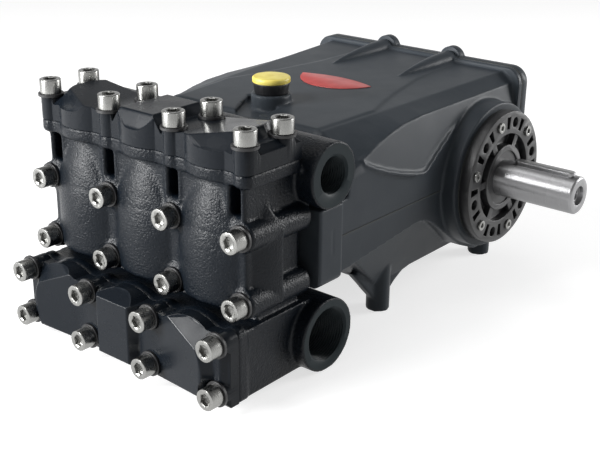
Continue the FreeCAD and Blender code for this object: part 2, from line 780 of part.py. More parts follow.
def make_crankshaft():
    """The forged crankshaft: two bearing seats, three throws and the drive end with its keyway."""
    body = new_body("crankshaft")
    sketch = new_sketch(body, "XZ_Plane", "0 - crank_setback")
    sketch.setExpression("AttachmentOffset.Base.y", bind("crank_height"))
    seat_out = "housing_boss_reach - cover_spigot"
    seat_in = seat_out + " - bearing_width"
    draw_outline(sketch, [
        ("0 - (" + seat_out + ")", "0"),
        ("shaft_end", "0"),
        ("shaft_end", "shaft_diameter / 2 - shaft_chamfer"),
        ("shaft_end - shaft_chamfer", "shaft_diameter / 2"),
        (seat_out, "shaft_diameter / 2"),
        (seat_out, "bearing_seat / 2"),
        (seat_in, "bearing_seat / 2"),
        (seat_in, "shaft_core / 2"),
        ("0 - (" + seat_in + ")", "shaft_core / 2"),
        ("0 - (" + seat_in + ")", "bearing_seat / 2"),
        ("0 - (" + seat_out + ")", "bearing_seat / 2"),
    ])
    add_turned(body, sketch, "H_Axis")
    for number in (-1, 0, 1):
        sketch = axis_sketch(body, 1, f"{number} * cylinder_pitch")
        across, up = on_circle("throw_offset", f"{120 * number + 90}")
        draw_circle(sketch, across, up, "throw_diameter")
        add_pad(body, sketch, "throw_width", both_ways=True)
    sketch = new_sketch(body, "XY_Plane", over("shaft_diameter / 2 - key_depth"))
    draw_key(sketch)
    add_pocket(body, sketch, "2 * key_depth", reversed_way=True)
    sketch = axis_sketch(body, 1, "shaft_end")
    draw_circle(sketch, "0", "0", "shaft_thread_bore")
    add_pocket(body, sketch, "shaft_thread_depth")
    sketch = axis_sketch(body, 1, "shaft_end")
    draw_circle(sketch, "0", "0", "shaft_countersink")
    add_pocket(body, sketch, "shaft_countersink_depth")
    return body


def draw_key(sketch):
    """The outline of the parallel key, seen from above."""
    draw_outline(sketch, rectangle(
        "shaft_end - key_end_gap - key_length", "shaft_end - key_end_gap",
        "crank_setback - key_width / 2", "crank_setback + key_width / 2"))


def make_shaft_key():
    """The parallel key in the drive end."""
    body = new_body("shaft_key")
    sketch = new_sketch(body, "XY_Plane", over("shaft_diameter / 2 - key_depth"))
    draw_key(sketch)
    key = add_pad(body, sketch, "key_height")
    round_edges(body, key, lambda edge: runs_along(edge, Z_AXIS), "key_width / 2 - running_clearance")
    return body


def screw_columns():
    """The places across the pump of the four columns of cap screws."""
    return [f"{step} * cylinder_pitch / 2" for step in (-3, -1, 1, 3)]


def add_valve_outline(body, plane, offset, at, depth, way=1):
    """Pads in the lobed outline that a valve cover and its flange share: a rectangle, a shallow
    lobe before each cylinder, and the far screw bosses, which round its corners. at() turns a
    distance from the outline's straight edge into a place on the sketch, and way says whether it
    grows up the sketch."""
    far_row = "valve_edge_margin + valve_screw_rows"
    half_width = "1.5 * cylinder_pitch + valve_boss_radius"
    front = far_row + " + valve_front_margin"
    sketch = new_sketch(body, plane, offset)
    draw_outline(sketch, [
        (f"0 - ({half_width})", at("0")),
        (half_width, at("0")),
        (half_width, at(far_row)),
        ("1.5 * cylinder_pitch", at(front)),
        ("0 - 1.5 * cylinder_pitch", at(front)),
        (f"0 - ({half_width})", at(far_row)),
    ])
    add_pad(body, sketch, depth)
    chord = front + " - joint_depth"
    half_chord = f"sqrt(valve_lobe_radius ^ 2 - ({chord} - valve_edge_margin - valve_lobe_offset) ^ 2)"
    sketch = new_sketch(body, plane, offset)
    for number in (-1, 0, 1):
        middle = f"{number} * cylinder_pitch"
        draw_outline(sketch, [
            (f"{middle} - {half_chord}", at(chord)),
            (f"{middle} + {half_chord}", at(chord)),
        ], {1: ("valve_lobe_radius", way)})
    add_pad(body, sketch, depth)
    sketch = new_sketch(body, plane, offset)
    for column in screw_columns():
        draw_circle(sketch, column, at(far_row), "2 * valve_boss_radius")
    add_pad(body, sketch, depth)


def add_head_core(body):
    """The manifold's core behind the three cylinder bulges, its throat and its land. Each bulge
    leans back over its shoulder, until it lies under the flange."""
    flange = over("top_joint_over - valve_flange")
    sketch = new_sketch(body, "YZ_Plane")
    draw_outline(sketch, [
        (ahead("core_rear"), flange),
        (ahead("core_front"), flange),
        (ahead("core_front"), under("core_under")),
        (ahead("throat_front"), under("core_under")),
        (ahead("throat_front"), under("block_over + joint_depth")),
        (ahead("core_rear"), under("block_over + joint_depth")),
    ])
    add_pad(body, sketch, "2 * core_half_width", both_ways=True)
    sketch = new_sketch(body, "YZ_Plane")
    draw_outline(sketch, rectangle(
        ahead("core_rear + joint_depth"), ahead("flange_ahead"), under("land_height"), over("land_height")))
    add_pad(body, sketch, "2 * land_half_width", both_ways=True)
    half_chord = "sqrt(bulge_radius ^ 2 - (slot_back - bulge_front + bulge_radius) ^ 2)"
    for number in (-1, 0, 1):
        ends = [(f"{number} * cylinder_pitch - {half_chord}", ahead("slot_back")),
                (f"{number} * cylinder_pitch + {half_chord}", ahead("slot_back"))]
        sketch = new_sketch(body, "XY_Plane", under("core_under"))
        draw_outline(sketch, ends, {1: ("bulge_radius", -1)})
        add_pad(body, sketch, "core_under + bulge_shoulder")
        sketch = new_sketch(body, "XY_Plane", over("bulge_shoulder"))
        draw_outline(sketch, ends, {1: ("bulge_radius", -1)})
        lean = add_pad(body, sketch, "top_joint_over - valve_flange - bulge_shoulder")
        lean.setExpression("TaperAngle", bind("0 - bulge_slope"))

    sketch = new_sketch(body, "XZ_Plane", "0 - (" + ahead("bulge_front") + ")")
    for side in (-1, 1):
        for middle in (f"{side} * cylinder_pitch / 2", f"{side} * (1.5 * cylinder_pitch - slot_inset)"):
            draw_outline(sketch, rectangle(
                middle + " - slot_width / 2", middle + " + slot_width / 2", over("slot_low"), flange))
    add_pocket(body, sketch, "bulge_front - slot_back")


def make_manifold():
    """The cast manifold: core, cylinder bulges, screw bosses, galleries, flanges and ports."""
    body = new_body("manifold")
    add_head_core(body)
    sketch = new_sketch(body, "XZ_Plane", "0 - (" + ahead("head_screw_seat") + ")")
    for column in screw_columns():
        for sign in (-1, 1):
            draw_circle(sketch, column, f"crank_height + {sign} * head_screw_height", "head_screw_boss")
    add_pad(body, sketch, "head_screw_seat - head_screw_boss_rear", reversed_way=True)
    sketch = new_sketch(body, "XZ_Plane", "0 - (" + ahead("bulge_front + joint_depth") + ")")
    for column in screw_columns():
        for sign in (-1, 1):
            draw_circle(sketch, column, f"crank_height + {sign} * head_screw_height", "head_screw_spot")
    add_pocket(body, sketch, "bulge_front + joint_depth - head_screw_seat")

    sketch = new_sketch(body, "YZ_Plane")
    draw_outline(sketch, rectangle(
        ahead("block_front"), ahead("block_rear"), under("front_edge_under"), under("block_over")))
    add_pad(body, sketch, "2 * block_half_width", both_ways=True)
    add_valve_outline(body, "XY_Plane", over("top_joint_over - valve_flange"),
                      lambda distance: ahead(f"top_edge_ahead + {distance}"), "valve_flange", way=-1)
    add_valve_outline(body, "XZ_Plane", "0 - (" + ahead("front_joint_ahead - valve_flange") + ")",
                      lambda distance: under(f"front_edge_under - ({distance})"), "valve_flange")

    suction = (ahead("suction_ahead"), under("suction_under"))
    delivery = (ahead("delivery_ahead"), over("delivery_over"))
    for place, boss in ((suction, "suction_boss"), (delivery, "delivery_boss")):
        sketch = new_sketch(body, "YZ_Plane")
        draw_circle(sketch, *place, boss)
        add_pad(body, sketch, "2 * port_half_span", both_ways=True)
    for side in (-1, 1):
        for place, port in ((suction, "suction"), (delivery, "delivery")):
            sketch = new_sketch(body, "YZ_Plane", f"{side} * port_half_span")
            draw_circle(sketch, *place, f"{port}_bore")
            add_pocket(body, sketch, f"{port}_depth", reversed_way=side < 0)
            sketch = new_sketch(body, "YZ_Plane", f"{side} * port_half_span")
            draw_circle(sketch, *place, f"{port}_bore + 2 * {port}_chamfer")
            add_pocket(body, sketch, f"{port}_chamfer / 2", reversed_way=side < 0)
    return body


def add_raised_field(body, seat, corners, arcs=None):
    """A raised field on a valve cover: a pad with sloping flanks that stands on the rim's level."""
    sketch = new_sketch(body, "XY_Plane", f"{seat} - valve_rim_drop")
    draw_outline(sketch, corners, arcs)
    field = add_pad(body, sketch, "valve_rim_drop + valve_crest")
    field.setExpression("TaperAngle", bind("0 - valve_flank"))
    return field


def make_valve_cover(label, seat, place):
    """A bolted valve cover, built lying on its joint face with its straight edge along X: a
    level middle that slopes to a low rim, a bar over the middle cylinder, a tilted field over
    each outer one, a front that falls to the rim, and round seats for the eight cap screws."""
    outline = new_body(label + "_outline")
    add_valve_outline(outline, "XY_Plane", "0", lambda distance: distance, f"{seat} + valve_crest")

    body = new_body(label + "_form")
    far_row = "valve_edge_margin + valve_screw_rows"
    front = far_row + " + 2 * valve_boss_radius"
    sketch = new_sketch(body, "XY_Plane")
    draw_outline(sketch, rectangle("0 - 2 * cylinder_pitch", "2 * cylinder_pitch", "0", front))
    add_pad(body, sketch, f"{seat} - valve_rim_drop")
    half_width = "1.5 * cylinder_pitch + valve_boss_radius - valve_edge_inset"
    sketch = new_sketch(body, "XY_Plane", f"{seat} - valve_rim_drop")
    draw_outline(sketch, rectangle(
        f"0 - ({half_width})", half_width,
        "valve_edge_inset", f"{far_row} + valve_front_margin - valve_edge_inset"))
    level = add_pad(body, sketch, "valve_rim_drop")
    level.setExpression("TaperAngle", bind("0 - valve_rim_slope"))
    middle = "valve_edge_margin + valve_wedge_ahead"
    add_raised_field(body, seat, rectangle(
        "0 - valve_bar_half", "valve_bar_half", f"{middle} - valve_wedge_radius + valve_crest", front))
    for side in (-1, 1):
        add_raised_field(body, seat, [
            (f"{side} * (valve_wedge_start - valve_rim_drop)", f"{middle} - valve_wedge_radius"),
            (f"{side} * valve_wedge_centre", f"{middle} - valve_wedge_radius"),
            (f"{side} * (valve_wedge_centre + valve_wedge_radius)", middle),
            (f"{side} * valve_wedge_centre", f"{middle} + valve_wedge_radius"),
            (f"{side} * (valve_wedge_start - valve_rim_drop)", f"{middle} + valve_wedge_radius"),
        ], {1: ("valve_wedge_radius", side), 2: ("valve_wedge_radius", side)})
        sketch = new_sketch(body, "XZ_Plane")
        beyond = "2 * valve_wedge_end - valve_wedge_start"
        draw_outline(sketch, [
            (f"{side} * valve_bar_half", seat),
            (f"{side} * valve_wedge_start", seat),
            (f"{side} * ({beyond})", f"{seat} + 2 * valve_crest"),
            (f"{side} * ({beyond})", f"{seat} + 3 * valve_crest"),
            (f"{side} * valve_bar_half", f"{seat} + 3 * valve_crest"),
        ])
        add_pocket(body, sketch, f"4 * ({front})", both_ways=True)

    sketch = new_sketch(body, "YZ_Plane")
    crest = "valve_edge_margin + valve_crest_ahead"
    rim = "valve_edge_margin + valve_lobe_offset + valve_lobe_radius"
    draw_outline(sketch, [
        (crest, f"{seat} + valve_crest"),
        (rim, f"{seat} - valve_rim_drop"),
        (f"2 * ({front})", f"{seat} - valve_rim_drop"),
        (f"2 * ({front})", f"{seat} + 2 * valve_crest"),
        (crest, f"{seat} + 2 * valve_crest"),
    ])
    add_pocket(body, sketch, "6 * cylinder_pitch", both_ways=True)
    sketch = new_sketch(body, "XY_Plane")
    for column in screw_columns():
        for row in ("valve_edge_margin", far_row):
            draw_circle(sketch, column, row, "2 * valve_boss_radius")
    add_pad(body, sketch, seat)

    cover = doc.addObject("Part::Common", label)
    cover.Label = label
    cover.Base, cover.Tool = body, outline
    for axis, text in zip("xyz", place):
        cover.setExpression(f"Placement.Base.{axis}", bind(text))
    return cover


def make_turned(label, across, up, bottom, profile):
    """A turned piece on an upright axis: (radius, height) steps from its bottom."""
    body = new_body(label)
    sketch = new_sketch(body, "XZ_Plane", f"0 - ({up})")
    sketch.setExpression("AttachmentOffset.Base.x", bind(across))
    sketch.setExpression("AttachmentOffset.Base.y", bind(bottom))
    draw_outline(sketch, profile)
    add_turned(body, sketch, "V_Axis")
    return body


def make_filler_body():
    """The filler plug's black body, screwed into the deck and wider at its top."""
    return make_turned("filler_plug", "0", ahead("filler_ahead"), over("filler_boss_over"), [
        ("0", "0 - filler_thread_length"),
        ("filler_thread / 2 - running_clearance", "0 - filler_thread_length"),
        ("filler_thread / 2 - running_clearance", "0"),
        ("filler_body_foot / 2", "0"),
        ("filler_body_diameter / 2", "filler_body_height"),
        ("0", "filler_body_height"),
    ])


def make_filler_cap():
    """The yellow cap on the filler plug."""
    return make_turned("filler_cap", "0", ahead("filler_ahead"),
                       over("filler_boss_over + filler_body_height"), [
        ("0", "0"),
        ("filler_cap_diameter / 2", "0"),
        ("filler_cap_diameter / 2", "filler_cap_height - filler_cap_chamfer"),
        ("filler_cap_diameter / 2 - filler_cap_chamfer", "filler_cap_height"),
        ("0", "filler_cap_height"),
    ])


def make_name_plate():
    """The blank lens-shaped plate on the sloping deck: what two discs have in common."""
    discs = []
    for bow, side in (("plate_front_bow", 1), ("plate_rear_bow", -1)):
        radius = f"(plate_length ^ 2 / 4 + {bow} ^ 2) / (2 * {bow})"
        disc = doc.addObject("Part::Cylinder", "plate_disc")
        disc.setExpression("Radius", bind(radius))
        disc.setExpression("Height", bind("plate_thickness"))
        disc.setExpression("Placement.Base.y", bind(f"{side} * ({radius} - {bow})"))
        discs.append(disc)
    plate = doc.addObject("Part::Common", "name_plate")
    plate.Label = "name_plate"
    plate.Base, plate.Tool = discs
    rise = "(deck_over_rear - deck_over_front) / (case_behind + deck_front_ahead)"
    plate.Placement.Rotation = FreeCAD.Rotation(X_AXIS, 1)
    plate.setExpression("Placement.Rotation.Angle", bind(f"atan({rise})"))
    plate.setExpression("Placement.Base.y", bind(ahead("plate_ahead")))
    plate.setExpression("Placement.Base.z", bind(deck_height("plate_ahead") + " + panel_rise"))
    return plate


def rear_turned(label, up, start, profile):
    """A turned piece whose axis points to the rear: (radius, distance) steps."""
    body = new_body(label)
    sketch = new_sketch(body, "XY_Plane", up)
    sketch.setExpression("AttachmentOffset.Base.y", bind(start))
    draw_outline(sketch, profile)
    add_turned(body, sketch, "V_Axis")
    return body


def make_drain_plug():
    """The drain plug: its thread in the sump and its hexagonal head on the washer."""
    seat = REAR + " + drain_washer_thickness"
    body = rear_turned("drain_plug", under("drain_under"), seat, [
        ("0", "0 - drain_thread_length"),
        ("drain_thread / 2 - running_clearance", "0 - drain_thread_length"),
        ("drain_thread / 2 - running_clearance", "joint_depth"),
        ("0", "joint_depth"),
    ])
    sketch = new_sketch(body, "XZ_Plane", "0 - (" + seat + ")")
    corners = []
    for turn in range(30, 390, 60):
        across, up = on_circle("drain_flats / sqrt(3)", f"{turn}")
        corners.append((across, under("drain_under") + " + " + up))
    draw_outline(sketch, corners)
    add_pad(body, sketch, "drain_head", reversed_way=True)
    return body


REAR_FACE = REAR + " + gasket_thickness + rear_cover_thickness"
BEARING_START = "housing_boss_reach - cover_spigot - bearing_width"
BEARING_RIM = "bearing_bore - 2 * running_clearance"
BEARING_HOLE = "bearing_seat + 2 * running_clearance"

make_crankcase()
make_rear_plate("rear_cover_gasket", REAR, "gasket_thickness", False)
make_rear_plate("rear_cover", REAR + " + gasket_thickness", "rear_cover_thickness", True)
for end, side in (("shaft", 1), ("blind", -1)):
    make_side_ring(f"{end}_cover_gasket", side, "gasket_thickness", "housing_boss_reach",
                   "cover_diameter", "bearing_bore")
    make_side_ring(f"{end}_side_bearing", side, "bearing_width", BEARING_START,
                   BEARING_RIM, BEARING_HOLE)
    make_bearing_cover(f"{end}_bearing_cover", side, open_hub=side > 0)
make_side_ring("shaft_seal", 1, "seal_width", COVER_FACE + " - seal_inset - seal_width",
               "seal_outer - 2 * running_clearance", "shaft_diameter + 2 * running_clearance")
make_crankshaft()
make_shaft_key()
make_manifold()
delivery_cover = make_valve_cover(
    "delivery_valve_cover", "top_seat", ("0", ahead("top_edge_ahead"), over("top_joint_over")))
delivery_cover.Placement.Rotation = FreeCAD.Rotation(Z_AXIS, 180)
suction_cover = make_valve_cover(
    "suction_valve_cover", "front_seat", ("0", ahead("front_joint_ahead"), under("front_edge_under")))
suction_cover.Placement.Rotation = FreeCAD.Rotation(X_AXIS, 90)
make_filler_body()
make_filler_cap()
make_name_plate()
rear_turned("drain_washer", under("drain_under"), REAR, [
    ("drain_thread / 2", "0"),
    ("drain_washer / 2", "0"),
    ("drain_washer / 2", "drain_washer_thickness"),
    ("drain_thread / 2", "drain_washer_thickness"),
])
make_drain_plug()
rear_turned("sight_glass_ring", under("sight_under"), REAR_FACE, [
    ("sight_glass_diameter / 2", "0"),
    ("sight_diameter / 2", "0"),
    ("sight_diameter / 2", "sight_stand"),
    ("sight_glass_diameter / 2", "sight_stand"),
])
rear_turned("sight_glass", under("sight_under"), REAR_FACE, [
    ("0", "0"),
    ("sight_glass_diameter / 2 - running_clearance", "0"),
    ("sight_glass_diameter / 2 - running_clearance", "sight_stand - sight_glass_drop"),
    ("0", "sight_stand - sight_glass_drop"),
])
doc.recompute()

for thing in doc.Objects:
    for bad in ("Invalid", "Error"):
        if bad in thing.State:
            raise RuntimeError(f"{thing.Name} failed: {thing.State}")
os.makedirs("parts", exist_ok=True)
for body in doc.Objects:
    inside_another = body.InList and body.TypeId == "PartDesign::Body"
    if body.TypeId not in ("PartDesign::Body", "Part::Common") or inside_another:
        continue
    shape = body.Shape
    if shape.isNull() or not shape.isValid():
        raise RuntimeError(f"{body.Label} has no valid shape")
    shape.exportStep(f"parts/{body.Label}.step")
    print(body.Label, len(shape.Solids), "solid,", round(shape.Volume / 1000, 1), "cm3")
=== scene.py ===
# %% [markdown]
# # Dressing a triplex plunger pump
# The pump's solids come from a CAD file, packed as one fixed frame. This notebook
# gives them the look of the real machine: sand castings with soft corners, smooth
# bolted covers, bright cap screws and a ground shaft. Every cell first says what
# a piece is on the real pump, how it could be made, and why this way was chosen.
# Lengths are in metres. Forms that are drawn in one plane, such as a valve cover's
# outline, are given in millimetres and multiplied by MM at the end.

import json

import bmesh
import bpy
import numpy as np
from mathutils import Matrix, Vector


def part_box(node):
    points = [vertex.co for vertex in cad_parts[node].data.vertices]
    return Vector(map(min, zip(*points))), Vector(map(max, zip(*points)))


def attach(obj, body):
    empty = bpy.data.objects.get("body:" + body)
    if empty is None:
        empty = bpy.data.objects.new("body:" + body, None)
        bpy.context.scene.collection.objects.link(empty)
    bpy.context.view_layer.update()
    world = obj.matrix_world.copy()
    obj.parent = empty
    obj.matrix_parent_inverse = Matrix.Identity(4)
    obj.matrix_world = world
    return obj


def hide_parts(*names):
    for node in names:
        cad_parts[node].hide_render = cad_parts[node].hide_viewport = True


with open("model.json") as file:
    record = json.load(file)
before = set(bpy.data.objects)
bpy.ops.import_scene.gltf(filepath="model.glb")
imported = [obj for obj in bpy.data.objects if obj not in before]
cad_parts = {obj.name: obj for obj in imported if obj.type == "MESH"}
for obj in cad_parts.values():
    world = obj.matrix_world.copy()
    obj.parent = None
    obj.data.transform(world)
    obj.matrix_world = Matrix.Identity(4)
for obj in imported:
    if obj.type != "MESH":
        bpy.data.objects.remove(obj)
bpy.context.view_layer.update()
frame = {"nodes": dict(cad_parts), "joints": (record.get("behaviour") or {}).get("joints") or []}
print("solids in the frame:", len(frame["nodes"]))

# %% [markdown]
# The places that the new pieces need are few. The crankshaft's axis comes from the
# joint, the seats of the screws come from the boxes of the covers, and the rest
# follows from the pitch of the three cylinders.

# %% Places on the pump
MM = 0.001
PITCH = 74 * MM
COLUMNS = PITCH * np.array([-1.5, -0.5, 0.5, 1.5])
CRANK_AXIS = np.array(frame["joints"][0]["pos_m"], float)
COVER_CREST = 8 * MM
SCREW_ROWS = 41.6 * MM
EDGE_MARGIN = 12.6 * MM
HEAD_SCREW_HEIGHT = 27.6 * MM
HEAD_SCREW_SEAT = -296.7 * MM

X, Y, Z = np.eye(3)


def box_of(node):
    """The lowest and the highest corner of a solid, as arrays."""
    low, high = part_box(node)
    return np.array(low), np.array(high)


delivery_high = box_of("delivery_valve_cover")[1]
suction_low = box_of("suction_valve_cover")[0]
delivery_seat = delivery_high[2] - COVER_CREST
suction_seat = suction_low[1] + COVER_CREST
print("delivery seat at z", round(delivery_seat, 4), "suction seat at y", round(suction_seat, 4))

# %% [markdown]
# Most of the new pieces are turned: screws, washers, rings, threads. A turned
# surface is a grid. One direction walks along a profile of (radius, height) steps,
# the other walks round the axis. Blender's own Screw modifier could spin a curve,
# but a grid of numbers also allows a radius that changes with the angle, which a
# hexagonal socket and a thread need.

# %% Surfaces as grids


def grid_faces(rows, columns):
    """Quads between neighbouring rows of points, closed round each row."""
    row = np.arange(rows - 1)[:, None] * columns
    here = np.arange(columns)[None, :]
    following = (here + 1) % columns
    corners = [row + here, row + following, row + columns + following, row + columns + here]
    return np.stack(np.broadcast_arrays(*corners), axis=-1).reshape(-1, 4)


def across_axis(direction):
    """Two unit vectors square to a direction, so that the three are right-handed."""
    direction = np.asarray(direction, float)
    helper = X if abs(direction[0]) < 0.9 else Y
    first = np.cross(helper, direction)
    first /= np.linalg.norm(first)
    return first, np.cross(direction, first)


def turned(radius, height, start, direction):
    """Points of a turned grid: start, plus height along the axis, plus radius times the
    cosine and the sine of the angle on the two axes square to it. The radius and the
    height are arrays of steps by angles."""
    rows, columns = radius.shape
    angle = np.arange(columns) * (2 * np.pi / columns)
    first, second = across_axis(direction)
    ring = np.cos(angle)[:, None] * first + np.sin(angle)[:, None] * second
    return start + height[..., None] * np.asarray(direction) + radius[..., None] * ring


def join_grids(grids):
    """All the points of several grids of one size, and all their faces."""
    faces = grid_faces(*grids[0].shape[:2])
    count = grids[0].shape[0] * grids[0].shape[1]
    points = np.concatenate([grid.reshape(-1, 3) for grid in grids])
    return points, np.concatenate([faces + number * count for number in range(len(grids))])


# %% [markdown]
# A grid becomes a piece in one step. The points at a seam or a pole are made twice,
# so they are merged, and then the surface is closed. Every piece says which body it
# rides on, which decides whether it turns with the crankshaft.

# %% From a grid to a piece


def add_piece(name, points, faces, material, slot, body="pump", corner=30):
    """A mesh piece at the origin that rides on a body. Points that meet are merged, so that
    seams and poles are closed, and edges sharper than the corner angle stay crisp."""
    mesh = bpy.data.meshes.new(name)
    mesh.from_pydata(points.tolist(), [], faces.tolist())
    work = bmesh.new()
    work.from_mesh(mesh)
    bmesh.ops.remove_doubles(work, verts=work.verts, dist=1e-6)
    bmesh.ops.dissolve_degenerate(work, edges=work.edges, dist=1e-7)
    bmesh.ops.recalc_face_normals(work, faces=work.faces)
    work.to_mesh(mesh)
    work.free()
    piece = bpy.data.objects.new(name, mesh)
    bpy.context.scene.collection.objects.link(piece)
    return finish_piece(piece, material, body, corner)


def finish_piece(piece, material, body="pump", corner=30):
    """Gives a piece its material, its smooth shading and the body that it rides on."""
    mesh = piece.data
    mesh.materials.clear()
    mesh.materials.append(material)
    mesh.shade_smooth()
    mesh.set_sharp_from_angle(angle=np.radians(corner))
    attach(piece, body)
    print(piece.name, "has", len(mesh.polygons), "faces")
    return piece


# %% [markdown]
# ## Finishes
# A finish here is a small network of nodes. Noise at the scale of the real grain
# goes into the bump, and broader noise changes the roughness a little, because no
# painted or ground surface shines evenly. The numbers that are the same all over
# sit on the shader itself.

# %% A new material


def new_material(name, colour, roughness, metallic=0.0, **extra):
    """A material with one Principled shader, and the tree, shader and coordinates to work on."""
    material = bpy.data.materials.new(name)
    material.use_nodes = True
    tree = material.node_tree
    shader = tree.nodes["Principled BSDF"]
    shader.inputs["Base Color"].default_value = (*colour, 1)
    shader.inputs["Roughness"].default_value = roughness
    shader.inputs["Metallic"].default_value = metallic
    for socket, value in extra.items():
        shader.inputs[socket.replace("_", " ")].default_value = value
    print("finish:", name)
    place = tree.nodes.new("ShaderNodeTexCoord").outputs["Object"]
    return material, tree, shader, place


# %% [markdown]
# The grain could also come from pictures, but noise has no seams and no end, and its
# size is a plain length on the pump. Four helpers make noise of a given size, drive a
# value between two bounds by it, mix two colours by it, and stack it as relief.

# %% Noise, colour and relief


def add_noise(tree, place, size, detail=2.0, stretch=(1, 1, 1)):
    """Noise whose grains are about as large as size, and longer along a stretched axis."""
    mapping = tree.nodes.new("ShaderNodeMapping")
    mapping.inputs["Scale"].default_value = [1 / (size * part) for part in stretch]
    tree.links.new(place, mapping.inputs["Vector"])
    noise = tree.nodes.new("ShaderNodeTexNoise")
    noise.inputs["Scale"].default_value = 1.0
    noise.inputs["Detail"].default_value = detail
    tree.links.new(mapping.outputs["Vector"], noise.inputs["Vector"])
    return noise.outputs["Fac"]


def vary(tree, fac, socket, low, high):
    """Drives a shader socket between two values by noise."""
    remap = tree.nodes.new("ShaderNodeMapRange")
    remap.inputs["From Min"].default_value = 0.3
    remap.inputs["From Max"].default_value = 0.7
    remap.inputs["To Min"].default_value = low
    remap.inputs["To Max"].default_value = high
    tree.links.new(fac, remap.inputs["Value"])
    tree.links.new(remap.outputs["Result"], socket)


def tint(tree, fac, shader, dark, light):
    """Mixes two colours by noise for the shader's base colour."""
    ramp = tree.nodes.new("ShaderNodeValToRGB")
    ramp.color_ramp.elements[0].position = 0.35
    ramp.color_ramp.elements[0].color = (*dark, 1)
    ramp.color_ramp.elements[1].position = 0.65
    ramp.color_ramp.elements[1].color = (*light, 1)
    tree.links.new(fac, ramp.inputs["Fac"])
    tree.links.new(ramp.outputs["Color"], shader.inputs["Base Color"])


def add_bump(tree, shader, *layers):
    """Stacks bump layers, each a height, the depth it stands for, and its strength."""
    normal = None
    for height, depth, strength in layers:
        bump = tree.nodes.new("ShaderNodeBump")
        bump.inputs["Distance"].default_value = depth
        bump.inputs["Strength"].default_value = strength
        tree.links.new(height, bump.inputs["Height"])
        if normal:
            tree.links.new(normal, bump.inputs["Normal"])
        normal = bump.outputs["Normal"]
    tree.links.new(normal, shader.inputs["Normal"])


# %% [markdown]
# The crankcase has a dark grey powder coat. It is baked powder, so it has a fine,
# even orange peel and a satin shine. The manifold has a blacker and glossier paint
# over a rough sand casting, where the grain of the sand is about a millimetre. The
# covers are die castings under the same black paint, so they are nearly smooth.

# %% Paints
case_paint, tree, shader, place = new_material(
    "crankcase_powder_coat", (0.034, 0.040, 0.047), 0.42, Specular_IOR_Level=0.12)
grain = add_noise(tree, place, 0.9 * MM, 3)
cloud = add_noise(tree, place, 25 * MM, 3)
tint(tree, cloud, shader, (0.031, 0.037, 0.044), (0.037, 0.043, 0.050))
vary(tree, cloud, shader.inputs["Roughness"], 0.38, 0.46)
add_bump(tree, shader, (grain, 0.12 * MM, 0.35))

rough_paint, tree, shader, place = new_material(
    "manifold_casting_paint", (0.003, 0.005, 0.008), 0.32, Specular_IOR_Level=0.17)
sand = add_noise(tree, place, 1.7 * MM, 3)
lumps = add_noise(tree, place, 14 * MM, 2)
vary(tree, sand, shader.inputs["Roughness"], 0.26, 0.40)
add_bump(tree, shader, (lumps, 0.6 * MM, 0.3), (sand, 0.62 * MM, 1.0))

smooth_paint, tree, shader, place = new_material(
    "cover_paint", (0.005, 0.007, 0.010), 0.29, Specular_IOR_Level=0.15)
peel = add_noise(tree, place, 3.5 * MM, 2)
cloud = add_noise(tree, place, 20 * MM, 3)
vary(tree, cloud, shader.inputs["Roughness"], 0.22, 0.32)
add_bump(tree, shader, (peel, 0.10 * MM, 0.25))

port_paint, tree, shader, place = new_material(
    "machined_port_paint", (0.020, 0.027, 0.030), 0.38, Specular_IOR_Level=0.08)
add_bump(tree, shader, (add_noise(tree, place, 0.8 * MM), 0.02 * MM, 0.2))

# %% [markdown]
# Bare metal: the cap screws are zinc plated steel, the shaft is ground on a lathe, so
# its fine lines run round it. Stretched noise gives such lines: the grains are short
# along the axis and very long round it.

# %% Metals
zinc, tree, shader, place = new_material("zinc_plated_steel", (0.28, 0.28, 0.27), 0.28, 1.0)
streaks = add_noise(tree, place, 1.2 * MM, 2, (1, 1, 6))
vary(tree, streaks, shader.inputs["Roughness"], 0.22, 0.34)
add_bump(tree, shader, (streaks, 0.05 * MM, 0.3))

ground, tree, shader, place = new_material("ground_shaft_steel", (0.28, 0.28, 0.285), 0.34, 1.0)
rings = add_noise(tree, place, 0.45 * MM, 3, (1, 400, 400))
vary(tree, rings, shader.inputs["Roughness"], 0.26, 0.44)
add_bump(tree, shader, (rings, 0.04 * MM, 0.5))

bearing_steel, tree, shader, place = new_material("bearing_race_steel", (0.55, 0.55, 0.55), 0.2, 1.0)
add_bump(tree, shader, (add_noise(tree, place, 0.8 * MM), 0.02 * MM, 0.3))

copper, tree, shader, place = new_material("copper_washer", (0.62, 0.30, 0.16), 0.35, 1.0)
add_bump(tree, shader, (add_noise(tree, place, 0.8 * MM), 0.03 * MM, 0.3))

aluminium, tree, shader, place = new_material("turned_aluminium", (0.70, 0.70, 0.71), 0.32, 1.0)
add_bump(tree, shader, (add_noise(tree, place, 0.6 * MM), 0.02 * MM, 0.3))

# %% [markdown]
# Plastics, rubber and the sight glass. Moulded plastic has a faint eroded grain, and
# the oil cap has faded a little in patches.

# %% Plastics, rubber and glass
yellow, tree, shader, place = new_material("yellow_cap_plastic", (0.66, 0.55, 0.10), 0.42)
cloud = add_noise(tree, place, 9 * MM, 3)
tint(tree, cloud, shader, (0.62, 0.50, 0.08), (0.72, 0.62, 0.16))
add_bump(tree, shader, (add_noise(tree, place, 0.7 * MM), 0.05 * MM, 0.3))

# This near-black also goes on the two bearing covers as painted shade: their metal is the crankcase's
# grey, and the black stands for the shadow they lie in.
black_plastic_and_painted_shade, tree, shader, place = new_material("black_filler_plastic_and_painted_shade", (0.008, 0.008, 0.009), 0.42)
add_bump(tree, shader, (add_noise(tree, place, 0.8 * MM), 0.05 * MM, 0.3))

red_label, tree, shader, place = new_material("red_label", (0.40, 0.050, 0.048), 0.36)
cloud = add_noise(tree, place, 12 * MM, 3)
tint(tree, cloud, shader, (0.36, 0.045, 0.042), (0.44, 0.062, 0.058))
add_bump(tree, shader, (add_noise(tree, place, 2 * MM), 0.03 * MM, 0.3))

